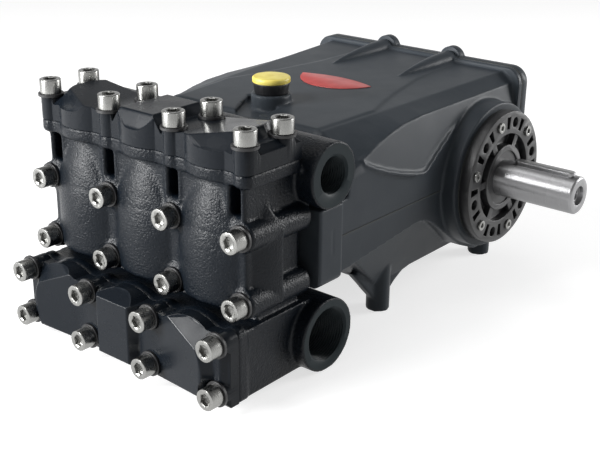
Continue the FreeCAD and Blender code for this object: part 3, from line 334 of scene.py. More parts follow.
rubber, tree, shader, place = new_material("seal_rubber", (0.016, 0.016, 0.017), 0.5)
add_bump(tree, shader, (add_noise(tree, place, 0.9 * MM), 0.04 * MM, 0.3))

gasket, tree, shader, place = new_material("gasket_fibre", (0.03, 0.032, 0.03), 0.8)
add_bump(tree, shader, (add_noise(tree, place, 0.6 * MM, 4), 0.08 * MM, 0.5))

glass, tree, shader, place = new_material(
    "sight_glass", (0.93, 0.95, 0.93), 0.05, Transmission_Weight=1.0, IOR=1.5)
add_bump(tree, shader, (add_noise(tree, place, 6 * MM), 0.02 * MM, 0.2))

# %% [markdown]
# ## The castings
# A sand casting has no crisp corner: every inner one is a fillet, and the outer ones
# are a little round. Fillets on such a form are hard to model edge by edge. Instead
# a copy of the solid is remeshed to even cells, a voxel remesh, and then smoothed a
# number of times, which rounds every corner by about the same radius. Last, Decimate
# thins the cells where the surface is flat.

# %% Copies of solids


def copy_of(node, name):
    """A copy of a solid's mesh with its loose triangles merged, as a new object."""
    mesh = frame["nodes"][node].data.copy()
    mesh.name = name
    work = bmesh.new()
    work.from_mesh(mesh)
    bmesh.ops.remove_doubles(work, verts=work.verts, dist=1e-6)
    work.to_mesh(mesh)
    work.free()
    piece = bpy.data.objects.new(name, mesh)
    bpy.context.scene.collection.objects.link(piece)
    return piece


def apply_modifiers(piece):
    """Replaces the piece's mesh by what its modifiers make of it."""
    graph = bpy.context.evaluated_depsgraph_get()
    mesh = bpy.data.meshes.new_from_object(piece.evaluated_get(graph))
    piece.modifiers.clear()
    piece.data = mesh
    return piece


def points_of(mesh):
    """The places of a mesh's vertices as an array."""
    points = np.empty(len(mesh.vertices) * 3)
    mesh.vertices.foreach_get("co", points)
    return points.reshape(-1, 3)


# %% Remesh, smooth and thin
VALLEY_ROUNDS = 28


def soften(piece, cell, rounds, keep, region=None):
    """Remeshes a piece to even cells, smooths it in rounds, and thins it to a share of its faces.
    Where a region is given, the points inside it are smoothed by the rounds of the valleys too."""
    remesh = piece.modifiers.new("cells", "REMESH")
    remesh.mode = "VOXEL"
    remesh.voxel_size = cell
    apply_modifiers(piece)
    smooth = piece.modifiers.new("corners", "SMOOTH")
    smooth.factor = 0.5
    smooth.iterations = rounds
    if region is not None:
        group = piece.vertex_groups.new(name="softer")
        group.add(np.flatnonzero(region(points_of(piece.data))).tolist(), 1.0, "REPLACE")
        extra = piece.modifiers.new("valleys", "SMOOTH")
        extra.factor = 0.5
        extra.iterations = VALLEY_ROUNDS
        extra.vertex_group = "softer"
    thin = piece.modifiers.new("thin", "DECIMATE")
    thin.ratio = keep
    apply_modifiers(piece)
    piece.data.calc_loop_triangles()
    print(piece.name, "softened to", len(piece.data.loop_triangles), "triangles")
    return piece


# %% [markdown]
# Some rims on the castings are thin raised lines. A rim is a bead here, a round bar
# along a path, and it is added to the copy before the remesh, which melts the two
# into one skin. A swept curve object with a bevel would give the same bar, but as
# arrays it can also swell and fade out along its path.

# %% Beads that melt into a casting


def add_volume(piece, grids):
    """Adds closed grids to a piece's mesh, so that the remesh melts them into the casting."""
    for grid in grids:
        points, faces = join_grids([grid])
        extra = bpy.data.meshes.new("extra")
        extra.from_pydata(points.tolist(), [], faces.tolist())
        work = bmesh.new()
        work.from_mesh(extra)
        bmesh.ops.remove_doubles(work, verts=work.verts, dist=1e-6)
        bmesh.ops.recalc_face_normals(work, faces=work.faces)
        work.to_mesh(extra)
        work.clear()
        work.from_mesh(piece.data)
        work.from_mesh(extra)
        work.to_mesh(piece.data)
        work.free()


def bead(path, radius, angles=12):
    """A round bead along a path: at each step, the path's point plus the radius given for the
    step times the cosine and the sine of the angle on two axes square to the path."""
    along = np.gradient(path, axis=0)
    along /= np.linalg.norm(along, axis=1, keepdims=True)
    helper = np.where(np.abs(along @ X)[:, None] < 0.8, X, Y)
    first = np.cross(along, helper)
    first /= np.linalg.norm(first, axis=1, keepdims=True)
    second = np.cross(along, first)
    angle = np.arange(angles) * (2 * np.pi / angles)
    cosine, sine = np.cos(angle)[None, :, None], np.sin(angle)[None, :, None]
    ring = cosine * first[:, None] + sine * second[:, None]
    return path[:, None] + radius[:, None, None] * ring


def eased(steps, share=0.15):
    """Rises from nothing to one over the first share of the steps, and falls again at the end."""
    part = np.linspace(0, 1, steps)
    return np.sqrt(np.clip(np.minimum(part, 1 - part) / share, 0, 1))


def through(points, steps):
    """A smooth path through a few points, a Catmull-Rom curve. Between b and c, with a before
    and d after them, it is half the sum of twice b, c less a times the part of the way, and
    the two combinations below times its square and its cube."""
    points = np.asarray(points, float)
    ends = np.vstack([2 * points[0] - points[1], points, 2 * points[-1] - points[-2]])
    place = np.linspace(0, len(points) - 1, steps)
    number = np.minimum(place.astype(int), len(points) - 2)
    part = (place - number)[:, None]
    a, b, c, d = (ends[number + offset] for offset in range(4))
    return 0.5 * (2 * b + (c - a) * part + (2 * a - 5 * b + 4 * c - d) * part ** 2
                  + (3 * b - a - 3 * c + d) * part ** 3)


# %% [markdown]
# The raised cheek on each side of the crankcase has a rim that catches the light. It
# is a bead on the cheek's own leaning face, from its tip in front, along its lower
# curve to the toe, and up again to the bearing.

# %% The rim of a cheek
SHAFT_Y, SHAFT_Z = 30.0, 110.0
CHEEK_TOP = 76.0
CHEEK_TOP_HALF = 117.0
CHEEK_LEAN = 0.21
RIM_STEPS = 90
RIM_RADIUS = 2.0 * MM
CHEEK_RIM = [(190, 58), (186, 52), (165, 42.5), (140, 34), (118, 28.5),
             (106, 27.5), (95, 32.5), (78, 42), (60, 51), (46, 58)]


def cheek_rim(side):
    """The rim's path through the points given ahead of the shaft and over it. Its distance
    from the middle is the half width at the cheek's top plus the lean times the way down."""
    ahead, over = through(CHEEK_RIM, RIM_STEPS).T
    across = CHEEK_TOP_HALF + (CHEEK_TOP - over) * CHEEK_LEAN
    return np.column_stack([side * across, SHAFT_Y - ahead, SHAFT_Z + over]) * MM


# %% [markdown]
# Along each side wall, at the shaft's height, runs the line where the two halves of
# the mould met. It is about a millimetre wide, too fine to survive the remesh, so it
# is a thin dark bead of its own, sunk to its middle in the wall.

# %% The parting lines
PARTING_HALF = 122.9
PARTING_ENDS = -193.5, -39.0
PARTING_STEPS = 60
PARTING_RADIUS = 0.55 * MM


def parting_line(side):
    """A straight path along the side wall, from behind the front flange to the bearing boss."""
    y = np.linspace(*PARTING_ENDS, PARTING_STEPS)
    across, up = np.full(PARTING_STEPS, side * PARTING_HALF), np.full(PARTING_STEPS, SHAFT_Z)
    return np.column_stack([across, y, up]) * MM


for side, end in ((1, "drive_side"), (-1, "blind_side")):
    line = bead(parting_line(side), PARTING_RADIUS * eased(PARTING_STEPS, 0.02), 8)
    points, faces = join_grids([line])
    add_piece(f"parting_line_{end}", points, faces, gasket, "crankcase_paint")

# %% The crankcase
crankcase = copy_of("crankcase", "crankcase_casting")
rims = [bead(cheek_rim(side), RIM_RADIUS * eased(RIM_STEPS)) for side in (-1, 1)]
add_volume(crankcase, rims)
soften(crankcase, 1.3 * MM, 3, 0.32)
finish_piece(crankcase, case_paint, corner=180)
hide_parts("crankcase")

# %% [markdown]
# The manifold gets smaller cells, because its barrels, slots and screw bosses sit
# close together. The four ports are machined after casting, so their bores are first
# widened in the copy. Turned rings with a real thread fill them later.

# %% Room for the ports
PORT_FACE = 131 * MM
PORTS = {
    "suction": {
        "place": (-215 * MM, 32 * MM), "boss": 32 * MM, "bore": 22.4 * MM, "depth": 36 * MM},
    "delivery": {
        "place": (-211 * MM, 169.6 * MM), "boss": 27.5 * MM, "bore": 15.15 * MM, "depth": 32 * MM},
}
RING_INSET = 1.4 * MM
RING_WALL = 2.0 * MM
BORE_REACH = 1.15


def widen_ports(piece):
    """Moves the points of the port bores outwards, square to the port's axis, until they stand
    at the radius where a ring fits."""
    points = points_of(piece.data)
    for port in PORTS.values():
        offset = points[:, 1:] - np.array(port["place"])
        distance = np.linalg.norm(offset, axis=1)
        inside = (distance > port["bore"] / 2) & (distance < port["bore"] * BORE_REACH)
        inside &= np.abs(points[:, 0]) > PORT_FACE - port["depth"] - MM
        wide = port["boss"] - RING_INSET - RING_WALL
        scale = np.where(inside, wide / np.maximum(distance, MM), 1.0)
        points[:, 1:] = np.array(port["place"]) + offset * scale[:, None]
    piece.data.vertices.foreach_set("co", points.ravel())
    piece.data.update()


# %% [markdown]
# Beside each cylinder a slot runs down from the delivery flange, and its edge is
# drawn up to a soft rim. The cylinders' fronts lean back over a round shoulder, and
# the valleys between them have the widest fillets of the whole casting. All three
# are worked on the copy, because the solid has plain edges there.

# %% The rims of the slots
SLOT_MIDDLES = -103, -37, 37, 103
SLOT_HALF = 7.5
SLOT_FACE = -293.5
SLOT_TOP = 180
STRAIGHT_END = 155
SLOT_FOOT = 153
SLOT_RIM_RADIUS = 2.6 * MM


def slot_rims():
    """A bead round each slot beside a cylinder: down one side, round a half circle at its foot,
    where the height is the foot's plus half the width times the sine, and up again."""
    turn = np.linspace(np.pi, 2 * np.pi, 20)
    straight = np.full(12, SLOT_HALF)
    across = np.concatenate([-straight, SLOT_HALF * np.cos(turn), straight])
    down, up = np.linspace(SLOT_TOP, STRAIGHT_END, 12), np.linspace(STRAIGHT_END, SLOT_TOP, 12)
    height = np.concatenate([down, SLOT_FOOT + SLOT_HALF * np.sin(turn), up])
    rims = []
    for middle in SLOT_MIDDLES:
        path = np.column_stack([middle + across, np.full(len(height), SLOT_FACE), height]) * MM
        rims.append(bead(path, SLOT_RIM_RADIUS * eased(len(height), 0.02)))
    return rims


# %% Wide fillets and round shoulders
# Each box: its least and most distance from the middle, y and z, in millimetres. Where a
# box is open on a side, its bound there is a number that no point of the casting reaches.
HEAD_FRONT = (-1, 118), (-400, -288), (62, 179)
BARREL_RIB = (108, 400), (-282, -254), (149, 176)
SHOULDER = 137 * MM
LEAN = np.tan(np.radians(17))
ROUNDING = 9 * MM
BULGE_FOOT = -297 * MM
BULGE_DEPTH = 6 * MM
BULGES = (-1, 105), (-400, 0), (70, 186)


def inside_box(points, box):
    """True for each point whose distance from the middle, y and z lie inside a box."""
    places = np.column_stack([np.abs(points[:, 0]), points[:, 1:]])
    low, high = np.array(box, float).T * MM
    return ((places > low) & (places < high)).all(axis=1)


def wide_fillets(points):
    """True for the points of the head's front between the two covers' flanges, and of the small
    rib over each upper screw barrel."""
    return inside_box(points, HEAD_FRONT) | inside_box(points, BARREL_RIB)


def round_bulges(piece):
    """Rounds the shoulder where the bulges start to lean back: points in front of the head are
    moved back by the rounding less the lean at their height, squared, over four roundings."""
    points = points_of(piece.data)
    lean = np.abs(points[:, 2] - SHOULDER) * LEAN
    out = np.clip((BULGE_FOOT - points[:, 1]) / BULGE_DEPTH, 0, 1)
    back = out * np.clip(ROUNDING - lean, 0, None) ** 2 / (4 * ROUNDING)
    points[:, 1] += np.where(inside_box(points, BULGES), back, 0)
    piece.data.vertices.foreach_set("co", points.ravel())
    piece.data.update()


# %% The manifold
manifold = copy_of("manifold", "manifold_casting")
widen_ports(manifold)
add_volume(manifold, slot_rims())
soften(manifold, 1.1 * MM, 7, 0.35, wide_fillets)
round_bulges(manifold)
finish_piece(manifold, rough_paint, corner=180)
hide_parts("manifold")

# %% [markdown]
# The thread in a port is a pipe thread of eleven turns to the inch. On a grid of
# steps along the bore by angles round it, the radius rises and falls with the step
# minus the angle's share of a turn, which is what makes a helix of it.

# %% Port rings with real threads
THREAD_PITCH = 25.4 / 11 * MM
THREAD_DEPTH = 1.3 * MM
THREAD_ANGLES = 96
STEPS_PER_TURN = 8
RING_EDGE = 0.3 * MM
RING_MOUTH = 1.2 * MM
RING_PROUD = 0.1 * MM
RING_SHORTER = 2 * MM


def threaded_ring(face, direction, outer, bore, depth, chamfer):
    """A ring with a threaded bore: its face stands on the point given, and its body runs
    back from it. The bore's radius is the bore plus the thread's depth times a wave that
    rises and falls once for each pitch of depth, less the angle's share of a turn."""
    steps = int(depth / THREAD_PITCH * STEPS_PER_TURN)
    along = np.linspace(chamfer, depth, steps)[:, None]
    turn = np.arange(THREAD_ANGLES)[None, :] / THREAD_ANGLES
    wave = np.abs(((along / THREAD_PITCH - turn) % 1) * 2 - 1)
    ease = np.clip((depth - along) / THREAD_PITCH, 0, 1)
    inner = bore + THREAD_DEPTH * wave * ease
    fixed = np.ones((1, THREAD_ANGLES))
    radius = np.concatenate([
        outer * fixed, outer * fixed, (outer - RING_EDGE) * fixed,
        (bore + chamfer + THREAD_DEPTH) * fixed, inner, outer * fixed])
    height = np.concatenate([
        -depth * fixed, -RING_EDGE * fixed, 0 * fixed,
        0 * fixed, -along * fixed, -depth * fixed])
    return turned(radius, height, face, direction)


for name, port in PORTS.items():
    for side, end in ((1, "drive_side"), (-1, "blind_side")):
        face = np.array([side * (PORT_FACE + RING_PROUD), *port["place"]])
        outer, depth = port["boss"] - RING_INSET, port["depth"] - RING_SHORTER
        ring = threaded_ring(face, side * X, outer, port["bore"], depth, RING_MOUTH)
        points, faces = join_grids([ring])
        add_piece(f"{name}_port_ring_{end}", points, faces, port_paint, "manifold_paint")

# %% [markdown]
# ## Machined and die-cast pieces
# The bearing covers, the rear cover, the plate and the shaft keep the shape of their
# solids, but no real edge is razor sharp. A copy with a narrow bevel on its edges
# catches the light the way a real one does. Before the bevel, the triangles of each
# flat face are joined, or the bevel would also follow their diagonals.

# %% Bevelled copies


def bevelled(node, name, width, material, body="pump", corner=25):
    """A copy of a solid with its edges bevelled by a width, which replaces the solid."""
    piece = copy_of(node, name)
    work = bmesh.new()
    work.from_mesh(piece.data)
    bmesh.ops.dissolve_limit(
        work, angle_limit=np.radians(0.3), verts=work.verts, edges=work.edges)
    work.to_mesh(piece.data)
    work.free()
    bevel = piece.modifiers.new("edges", "BEVEL")
    bevel.width = width
    bevel.segments = 2
    bevel.limit_method = "ANGLE"
    bevel.angle_limit = np.radians(corner)
    bevel.harden_normals = True
    bevel.use_clamp_overlap = True
    piece.data.shade_smooth()
    apply_modifiers(piece)
    finish_piece(piece, material, body, corner=40)
    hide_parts(node)
    return piece


bevelled("rear_cover", "rear_cover_plate", 0.8 * MM, case_paint)
# The bearing covers get the near-black plastic finish as painted shade: their metal has the
# crankcase's grey, and the black stands for the shadow they lie in.
bevelled("shaft_bearing_cover", "shaft_cover_painted_shade", 0.4 * MM, black_plastic_and_painted_shade)
bevelled("blind_bearing_cover", "blind_cover_painted_shade", 0.4 * MM, black_plastic_and_painted_shade)
bevelled("crankshaft", "crankshaft_turned", 0.3 * MM, ground, "crankshaft")
bevelled("shaft_key", "shaft_key_ground", 0.4 * MM, ground, "crankshaft")
bevelled("filler_cap", "filler_cap_moulded", 0.5 * MM, yellow)
bevelled("filler_plug", "filler_plug_moulded", 0.5 * MM, black_plastic_and_painted_shade)
bevelled("name_plate", "name_plate_label", 0.15 * MM, red_label)

# %% [markdown]
# The small turned and cut pieces are right as they are: joints, rings, the seal, the
# sight glass and the drain. Their solids stay in view and only get a finish.

# %% Solids that stay
plain_nodes = {
    "rear_cover_gasket": gasket,
    "shaft_cover_gasket": gasket,
    "blind_cover_gasket": gasket,
    "shaft_side_bearing": bearing_steel,
    "blind_side_bearing": bearing_steel,
    "shaft_seal": rubber,
    "sight_glass": glass,
    "sight_glass_ring": aluminium,
    "drain_washer": copper,
    "drain_plug": zinc,
}
for node, material in plain_nodes.items():
    mesh = frame["nodes"][node].data
    mesh.materials.clear()
    mesh.materials.append(material)
print("solids that stay in view:", len(plain_nodes))

# %% [markdown]
# ## Valve covers
# A valve cover is a shallow casting with a flat bar over the middle cylinder and a
# tilted, round field over each outer one. Boxes and cuts would leave hard edges, so
# its top is a height field here: every form gives a height over the joint at each
# place, soft_max joins them and soft_min cuts them, and both round the crease that
# they leave, as a mould maker's cutter does.
#
# All lengths of a cover are in millimetres. x runs along it, d is the distance from
# its straight edge, and heights are over the joint, up to the seat of its screws.

# %% Soft unions and the outline
COVER_END = 119.5
COVER_FLAT_END = 111
COVER_FLAT_FRONT = 59.5
LOBES = -74, 0, 74
LOBE_RADIUS = 40.0
LOBE_MIDDLE = 25.4
SCREW_COLUMNS = -111, -37, 37, 111
FRONT_ROW = 54.2
REAR_ROW = 12.6
BOSS_RADIUS = 8.5


def soft_max(one, other, width=1.2):
    """The larger of two heights, with a round bridge where they differ by less than the width:
    the width less the difference, squared, over four widths, is added."""
    bridge = np.clip(width - np.abs(one - other), 0, None) ** 2 / (4 * width)
    return np.maximum(one, other) + bridge


def soft_min(one, other, width=1.2):
    """The smaller of two heights, with the same round bridge turned over."""
    return -soft_max(-one, -other, width)


def half_circle(x, middle, radius):
    """The height of a circle over its middle line at x: the root of the radius squared less
    the distance squared, and nothing outside the circle."""
    return np.sqrt(np.clip(radius ** 2 - (x - middle) ** 2, 0, None))


def cover_front(x):
    """How far the cover reaches from its straight edge at each place along it: a straight rim,
    an arc before each cylinder, and a round boss at each screw."""
    reach = np.where(np.abs(x) <= COVER_FLAT_END, COVER_FLAT_FRONT, 0.0)
    for middle in LOBES:
        reach = np.maximum(reach, LOBE_MIDDLE + half_circle(x, middle, LOBE_RADIUS))
    for column in SCREW_COLUMNS:
        reach = np.maximum(reach, FRONT_ROW + half_circle(x, column, BOSS_RADIUS))
    return reach


# %% [markdown]
# Every slope starts at the rim, which lies a little under the screws' seats. So a slope
# is the rim's height plus its steepness times the distance from the line where it
# starts: the plate's edges, the sides and the front of the bar, and of each field the
# cone round it, its steep front and the flat facet that meets its tilted face.

# %% The form of a valve cover
RIM_DROP = 5.3
PLATE_END, PLATE_BACK, PLATE_FRONT = 118.5, 1.0, 58.5
BACK_START, BACK_SLOPE = 0.5, 1.9
BAR_RISE = 8.0
BAR_HALF, BAR_SIDE_SLOPE = 27.7, 1.43
BAR_FRONT, BAR_FRONT_SLOPE = 64.4, 2.2
FIELD_INNER = 26.0
FIELD_MIDDLE = 66.0, 27.0
FIELD_RADIUS, FIELD_SLOPE = 46.5, 1.1
FIELD_FRONT, FIELD_FRONT_SLOPE = 65.2, 2.4
TILT_START, TILT_RUN, TILT_RISE, TILT_LEAST = 47.0, 51.0, 8.0, -3.2
FACET_START = 58.0, 62.5
FACET_COSINE, FACET_SINE = 0.917, 0.40
FACET_HEIGHT, FACET_RISE = 7.6, 0.144
FACET_CREASE = 0.6
WASHER_SEAT, SEAT_SLOPE = 11.3, 3.0
BOSS_SLOPE = 5.0


def field_height(aside, d, seat, rim):
    """The height of an outer field: the least of its tilted face, its facet, its cone, its
    front and its back. The facet is a plane that rises along its crease and falls by one for
    each step beyond it."""
    tilt = seat + np.clip((aside - TILT_START) * TILT_RISE / TILT_RUN, TILT_LEAST, TILT_RISE)
    ahead, over = aside - FACET_START[0], d - FACET_START[1]
    along = ahead * FACET_COSINE - over * FACET_SINE
    beyond = ahead * FACET_SINE + over * FACET_COSINE
    facet = rim + FACET_HEIGHT + FACET_RISE * along - beyond
    from_middle = np.hypot(aside - FIELD_MIDDLE[0], d - FIELD_MIDDLE[1])
    cone = rim + (FIELD_RADIUS - from_middle) * FIELD_SLOPE
    front = rim + (FIELD_FRONT - d) * FIELD_FRONT_SLOPE
    edges = soft_min(facet, soft_min(cone, front), FACET_CREASE)
    back = rim + (d - BACK_START) * BACK_SLOPE
    return soft_min(soft_min(tilt, edges, FACET_CREASE), back)


def cover_height(x, d, seat):
    """The height over the joint at x along the cover and d from its straight edge: a level
    plate with sloping edges, the bar, two fields, and a round seat and boss at each screw."""
    rim = seat - RIM_DROP
    aside = np.abs(x)
    edge = np.minimum(np.minimum(PLATE_END - aside, d - PLATE_BACK), PLATE_FRONT - d)
    height = soft_max(np.full(x.shape, rim), soft_min(seat + 0.0 * x, rim + edge))
    sides = rim + (BAR_HALF - aside) * BAR_SIDE_SLOPE
    front = rim + (BAR_FRONT - d) * BAR_FRONT_SLOPE
    back = rim + (d - BACK_START) * BACK_SLOPE
    bar = soft_min(soft_min(sides, front), soft_min(seat + BAR_RISE + 0.0 * x, back))
    height = soft_max(height, bar)
    under_all = rim - RIM_DROP
    field = np.where(aside > FIELD_INNER, field_height(aside, d, seat, rim), under_all)
    height = soft_max(height, field)
    for column in SCREW_COLUMNS[2:]:
        for row in (REAR_ROW, FRONT_ROW):
            from_screw = np.hypot(aside - column, d - row)
            cut = seat + np.clip(from_screw - WASHER_SEAT, 0, None) * SEAT_SLOPE
            boss = seat - np.clip(from_screw - BOSS_RADIUS, 0, None) * BOSS_SLOPE
            height = np.maximum(np.minimum(height, cut), boss)
    return np.maximum(height, rim)


# %% [markdown]
# The skin of a cover is one closed grid. Its rows are sections across the cover, and
# each row goes once round the section, so that walls and top share their points.

# %% The skin of a valve cover
SECTIONS = 470
TOP_STEPS = 130
END_CHAMFER = 0.6
RIM_STEP = 0.5


def cover_grid(seat):
    """Sections across the cover as closed loops: along the joint, up the straight edge, over
    the height field, and down the lobed front. At both ends the last loop is let down onto the
    joint, which makes the end walls."""
    ends = np.array([-COVER_END, COVER_END])
    between = np.linspace(END_CHAMFER - COVER_END, COVER_END - END_CHAMFER, SECTIONS)
    x = np.concatenate([ends[:1], between, ends[1:]])
    reach = cover_front(x)
    part = np.linspace(0, 1, TOP_STEPS)
    d = RIM_STEP + part[None, :] * (reach[:, None] - 2 * RIM_STEP)
    top = cover_height(x[:, None] + 0 * d, d, seat)
    top[[0, -1]] -= END_CHAMFER
    rim = top[:, :1] - RIM_STEP, top[:, -1:] - RIM_STEP
    zero = np.zeros((len(x), 1))
    front = reach[:, None]
    across = np.concatenate([zero, zero, zero, d, front, front, front], axis=1)
    up = np.concatenate([zero, rim[0] / 2, rim[0], top, rim[1], rim[1] / 2, zero], axis=1)
    grid = np.stack([np.broadcast_to(x[:, None], across.shape), across, up], axis=-1)
    let_down = np.array([1, 1, 0])
    return np.concatenate([grid[:1] * let_down, grid, grid[-1:] * let_down])


# %% [markdown]
# The same form serves twice. The delivery cover lies on top with its straight edge
# towards the crankcase, and the suction cover stands in front with that edge below.

# %% The two valve covers
DELIVERY_EDGE, DELIVERY_JOINT, DELIVERY_SEAT = -237.5, 188.0, 19.3
SUCTION_EDGE, SUCTION_JOINT, SUCTION_SEAT = 5.4, -310.0, 14.9

across, out, up = np.moveaxis(cover_grid(DELIVERY_SEAT), -1, 0)
delivery_skin = np.stack([across, DELIVERY_EDGE - out, DELIVERY_JOINT + up], axis=-1) * MM
across, out, up = np.moveaxis(cover_grid(SUCTION_SEAT), -1, 0)
suction_skin = np.stack([across, SUCTION_JOINT - up, SUCTION_EDGE + out], axis=-1) * MM
for cover, skin in (("delivery", delivery_skin), ("suction", suction_skin)):
    points, faces = join_grids([skin])
    casting = add_piece(
        f"{cover}_cover_casting", points, faces, smooth_paint, "manifold_paint", corner=38)
    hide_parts(f"{cover}_valve_cover")

# %% [markdown]
# ## Screws
# Twenty-four cap screws hold the head together: eight in each valve cover and eight
# through the manifold into the crankcase. Each has a cylindrical head with a small
# rounding and a hexagonal socket, on a dark hard washer. The socket is part of the
# same grid as the head: at its steps, the radius follows a hexagon.

# %% Cap screws
SCREW_ANGLES = 48
# Shares of the head's radius, and of half the socket's width.
ROUNDED_RIM = 0.09
SOCKET_MOUTH, SOCKET_BREAK, SOCKET_CONE = 1.22, 0.12, 0.25


def hexagon(half, angles):
    """The radius of a hexagon at each angle: half its width over the cosine of the angle
    to the middle of the nearest side."""
    angle = np.arange(angles) * (2 * np.pi / angles)
    return half / np.cos((angle + np.pi / 6) % (np.pi / 3) - np.pi / 6)


def cap_screw(seat, direction, radius, height, half, depth, turn=0.0):
    """A socket head on its seat: up the side, over the rounded rim, across the face, down
    the hexagonal socket, and in to the middle of its floor."""
    rim = ROUNDED_RIM * radius
    tilt = np.array([0, 30, 60, 90]) * np.pi / 180
    round_radius = radius - rim + rim * np.cos(tilt)
    round_height = height - rim + rim * np.sin(tilt)
    circle = np.ones(SCREW_ANGLES)
    socket = np.roll(hexagon(half, SCREW_ANGLES), int(turn * SCREW_ANGLES))
    mouth = half * SOCKET_MOUTH
    rows = [(0.0 * circle, 0.0), ((radius - 0.5 * rim) * circle, 0.0), (radius * circle, 0.5 * rim)]
    rows += [(r * circle, h) for r, h in zip(round_radius, round_height)]
    rows += [
        (mouth * circle, height),
        (socket, height - SOCKET_BREAK * half),
        (socket, height - depth),
        (0.0 * circle, height - depth - SOCKET_CONE * half),
    ]
    radii = np.array([row[0] for row in rows])
    heights = np.array([np.full(SCREW_ANGLES, row[1]) for row in rows])
    return turned(radii, heights, np.asarray(seat, float), direction)


# %% [markdown]
# A cap screw stops at any angle when it is tightened, so each head of a set is turned
# by a random share of a turn, from a fixed seed. A set is one piece, because its
# screws are all the same, and its dark washers are another.

# %% Washers and sets of screws
HEAD_RADIUS = 9 * MM
HEAD_HEIGHT = 12 * MM
SOCKET_HALF = 4.8 * MM
SOCKET_DEPTH = 3.6 * MM
WASHER_RADIUS = 10.8 * MM
WASHER_HEIGHT = 2.5 * MM
WASHER_HOLE = 6.5 * MM


def washer(seat, direction, radius, height, hole):
    """A flat washer: a closed square section with a small chamfer, turned about the axis."""
    edge = 0.12 * height
    profile = np.array([
        (hole, 0), (radius - edge, 0), (radius, edge), (radius, height - edge),
        (radius - edge, height), (hole, height), (hole, 0)])
    radii = np.repeat(profile[:, :1], SCREW_ANGLES, axis=1)
    heights = np.repeat(profile[:, 1:], SCREW_ANGLES, axis=1)
    return turned(radii, heights, np.asarray(seat, float), direction)


def add_screws(name, seats, direction, seed):
    """A set of cap screws and their washers, as two joined pieces."""
    direction = np.asarray(direction, float)
    random = np.random.default_rng(seed)
    turns = random.random(len(seats))
    heads = [
        cap_screw(seat + direction * WASHER_HEIGHT, direction, HEAD_RADIUS, HEAD_HEIGHT,
                  SOCKET_HALF, SOCKET_DEPTH, turn)
        for seat, turn in zip(seats, turns)]
    rings = [washer(seat, direction, WASHER_RADIUS, WASHER_HEIGHT, WASHER_HOLE) for seat in seats]
    add_piece(name, *join_grids(heads), zinc, "zinc_steel")
    add_piece(name + "_washers", *join_grids(rings), black_plastic_and_painted_shade, "manifold_paint")


delivery_rows = delivery_high[1] - EDGE_MARGIN - np.array([0, SCREW_ROWS])
delivery_seats = [np.array([x, y, delivery_seat]) for y in delivery_rows for x in COLUMNS]
suction_rows = suction_low[2] + EDGE_MARGIN + np.array([0, SCREW_ROWS])
suction_seats = [np.array([x, suction_seat, z]) for z in suction_rows for x in COLUMNS]
head_rows = CRANK_AXIS[2] + np.array([-HEAD_SCREW_HEIGHT, HEAD_SCREW_HEIGHT])
head_seats = [np.array([x, HEAD_SCREW_SEAT, z]) for z in head_rows for x in COLUMNS]
add_screws("delivery_cover_screws", delivery_seats, Z, 1)
add_screws("suction_cover_screws", suction_seats, -Y, 2)
add_screws("head_screws", head_seats, -Y, 3)

# %% [markdown]
# Six small cap screws hold each bearing cover, on a circle round the crankshaft.

# %% Bearing cover screws
COVER_SCREW_CIRCLE = 53.2 * MM
COVER_FACE = box_of("shaft_bearing_cover")[1][0]
# Head radius, head height, half the socket's width and its depth.
SMALL_HEAD = 4.9 * MM, 2.2 * MM, 2.2 * MM, 1.6 * MM


def around_shaft(radius, degrees, distance):
    """A point about the crankshaft's axis, at a distance along it: the radius times the cosine
    of the angle goes backwards from the axis, and the radius times its sine goes up."""
    angle = np.radians(degrees)
    return np.array([
        distance, CRANK_AXIS[1] + radius * np.cos(angle), CRANK_AXIS[2] + radius * np.sin(angle)])


for side, name in ((1, "shaft_cover_screws"), (-1, "blind_cover_screws")):
    small = []
    for number in range(6):
        seat = around_shaft(COVER_SCREW_CIRCLE, 45 + 60 * number, side * COVER_FACE)
        small.append(cap_screw(seat, side * X, *SMALL_HEAD, number / 7))
    add_piece(name, *join_grids(small), zinc, "zinc_steel")

# %% [markdown]
# The rear cover is held by ten larger cap screws round its edge. The two upper ones
# in the middle go into the pointed bosses on the deck.

# %% Rear cover screws
REAR_FACE = box_of("rear_cover")[1][1]
REAR_PLACES = [(40, 196), (113, 187), (116, 132), (113, 77), (40, 72)]
REAR_HEAD = 6.2 * MM, 7 * MM, 3 * MM, 3.5 * MM
rear_screws = [
    cap_screw((side * across * MM, REAR_FACE, up * MM), Y, *REAR_HEAD, up / 7)
    for across, up in REAR_PLACES for side in (-1, 1)]
add_piece("rear_cover_screws", *join_grids(rear_screws), zinc, "zinc_steel")

# %% [markdown]
# ## Stage
# A plain pale floor, a pale backdrop and soft lamps, as in a product photograph.
# The camera stands where the photographer stood: its place was worked out from where
# the screws and the shaft appear in the photograph, and its roll is under a degree.

# %% Camera
CAMERA_PLACE = (0.62755, -0.85442, 0.44797)
AZIMUTH, ELEVATION, ROLL = np.radians([39.52, 21.50, 0.68])
LENS = 65.95

back = np.array([
    np.sin(AZIMUTH) * np.cos(ELEVATION), -np.cos(AZIMUTH) * np.cos(ELEVATION), np.sin(ELEVATION)])
right = np.cross(Z, back)
right /= np.linalg.norm(right)
upward = np.cross(back, right)
rolled_right = right * np.cos(ROLL) + upward * np.sin(ROLL)
rolled_up = upward * np.cos(ROLL) - right * np.sin(ROLL)

camera_data = bpy.data.cameras.new("camera")
camera_data.lens = LENS
camera_data.sensor_width = 36
camera = bpy.data.objects.new("camera", camera_data)
bpy.context.scene.collection.objects.link(camera)
turn = np.column_stack([rolled_right, rolled_up, back])
camera.matrix_world = Matrix.Translation(CAMERA_PLACE) @ Matrix(turn.tolist()).to_4x4()
bpy.context.scene.camera = camera
print("camera at", CAMERA_PLACE, "with a lens of", LENS, "mm")

# %% [markdown]
# The background of such a photograph is brighter than the light that falls on the
# object. So the floor glows, but only for the rays that see it: straight from the
# camera, in a mirror or through glass. The light that it sends onto the pump's
# underside stays that of a plain grey floor. The sky further on works the same way.

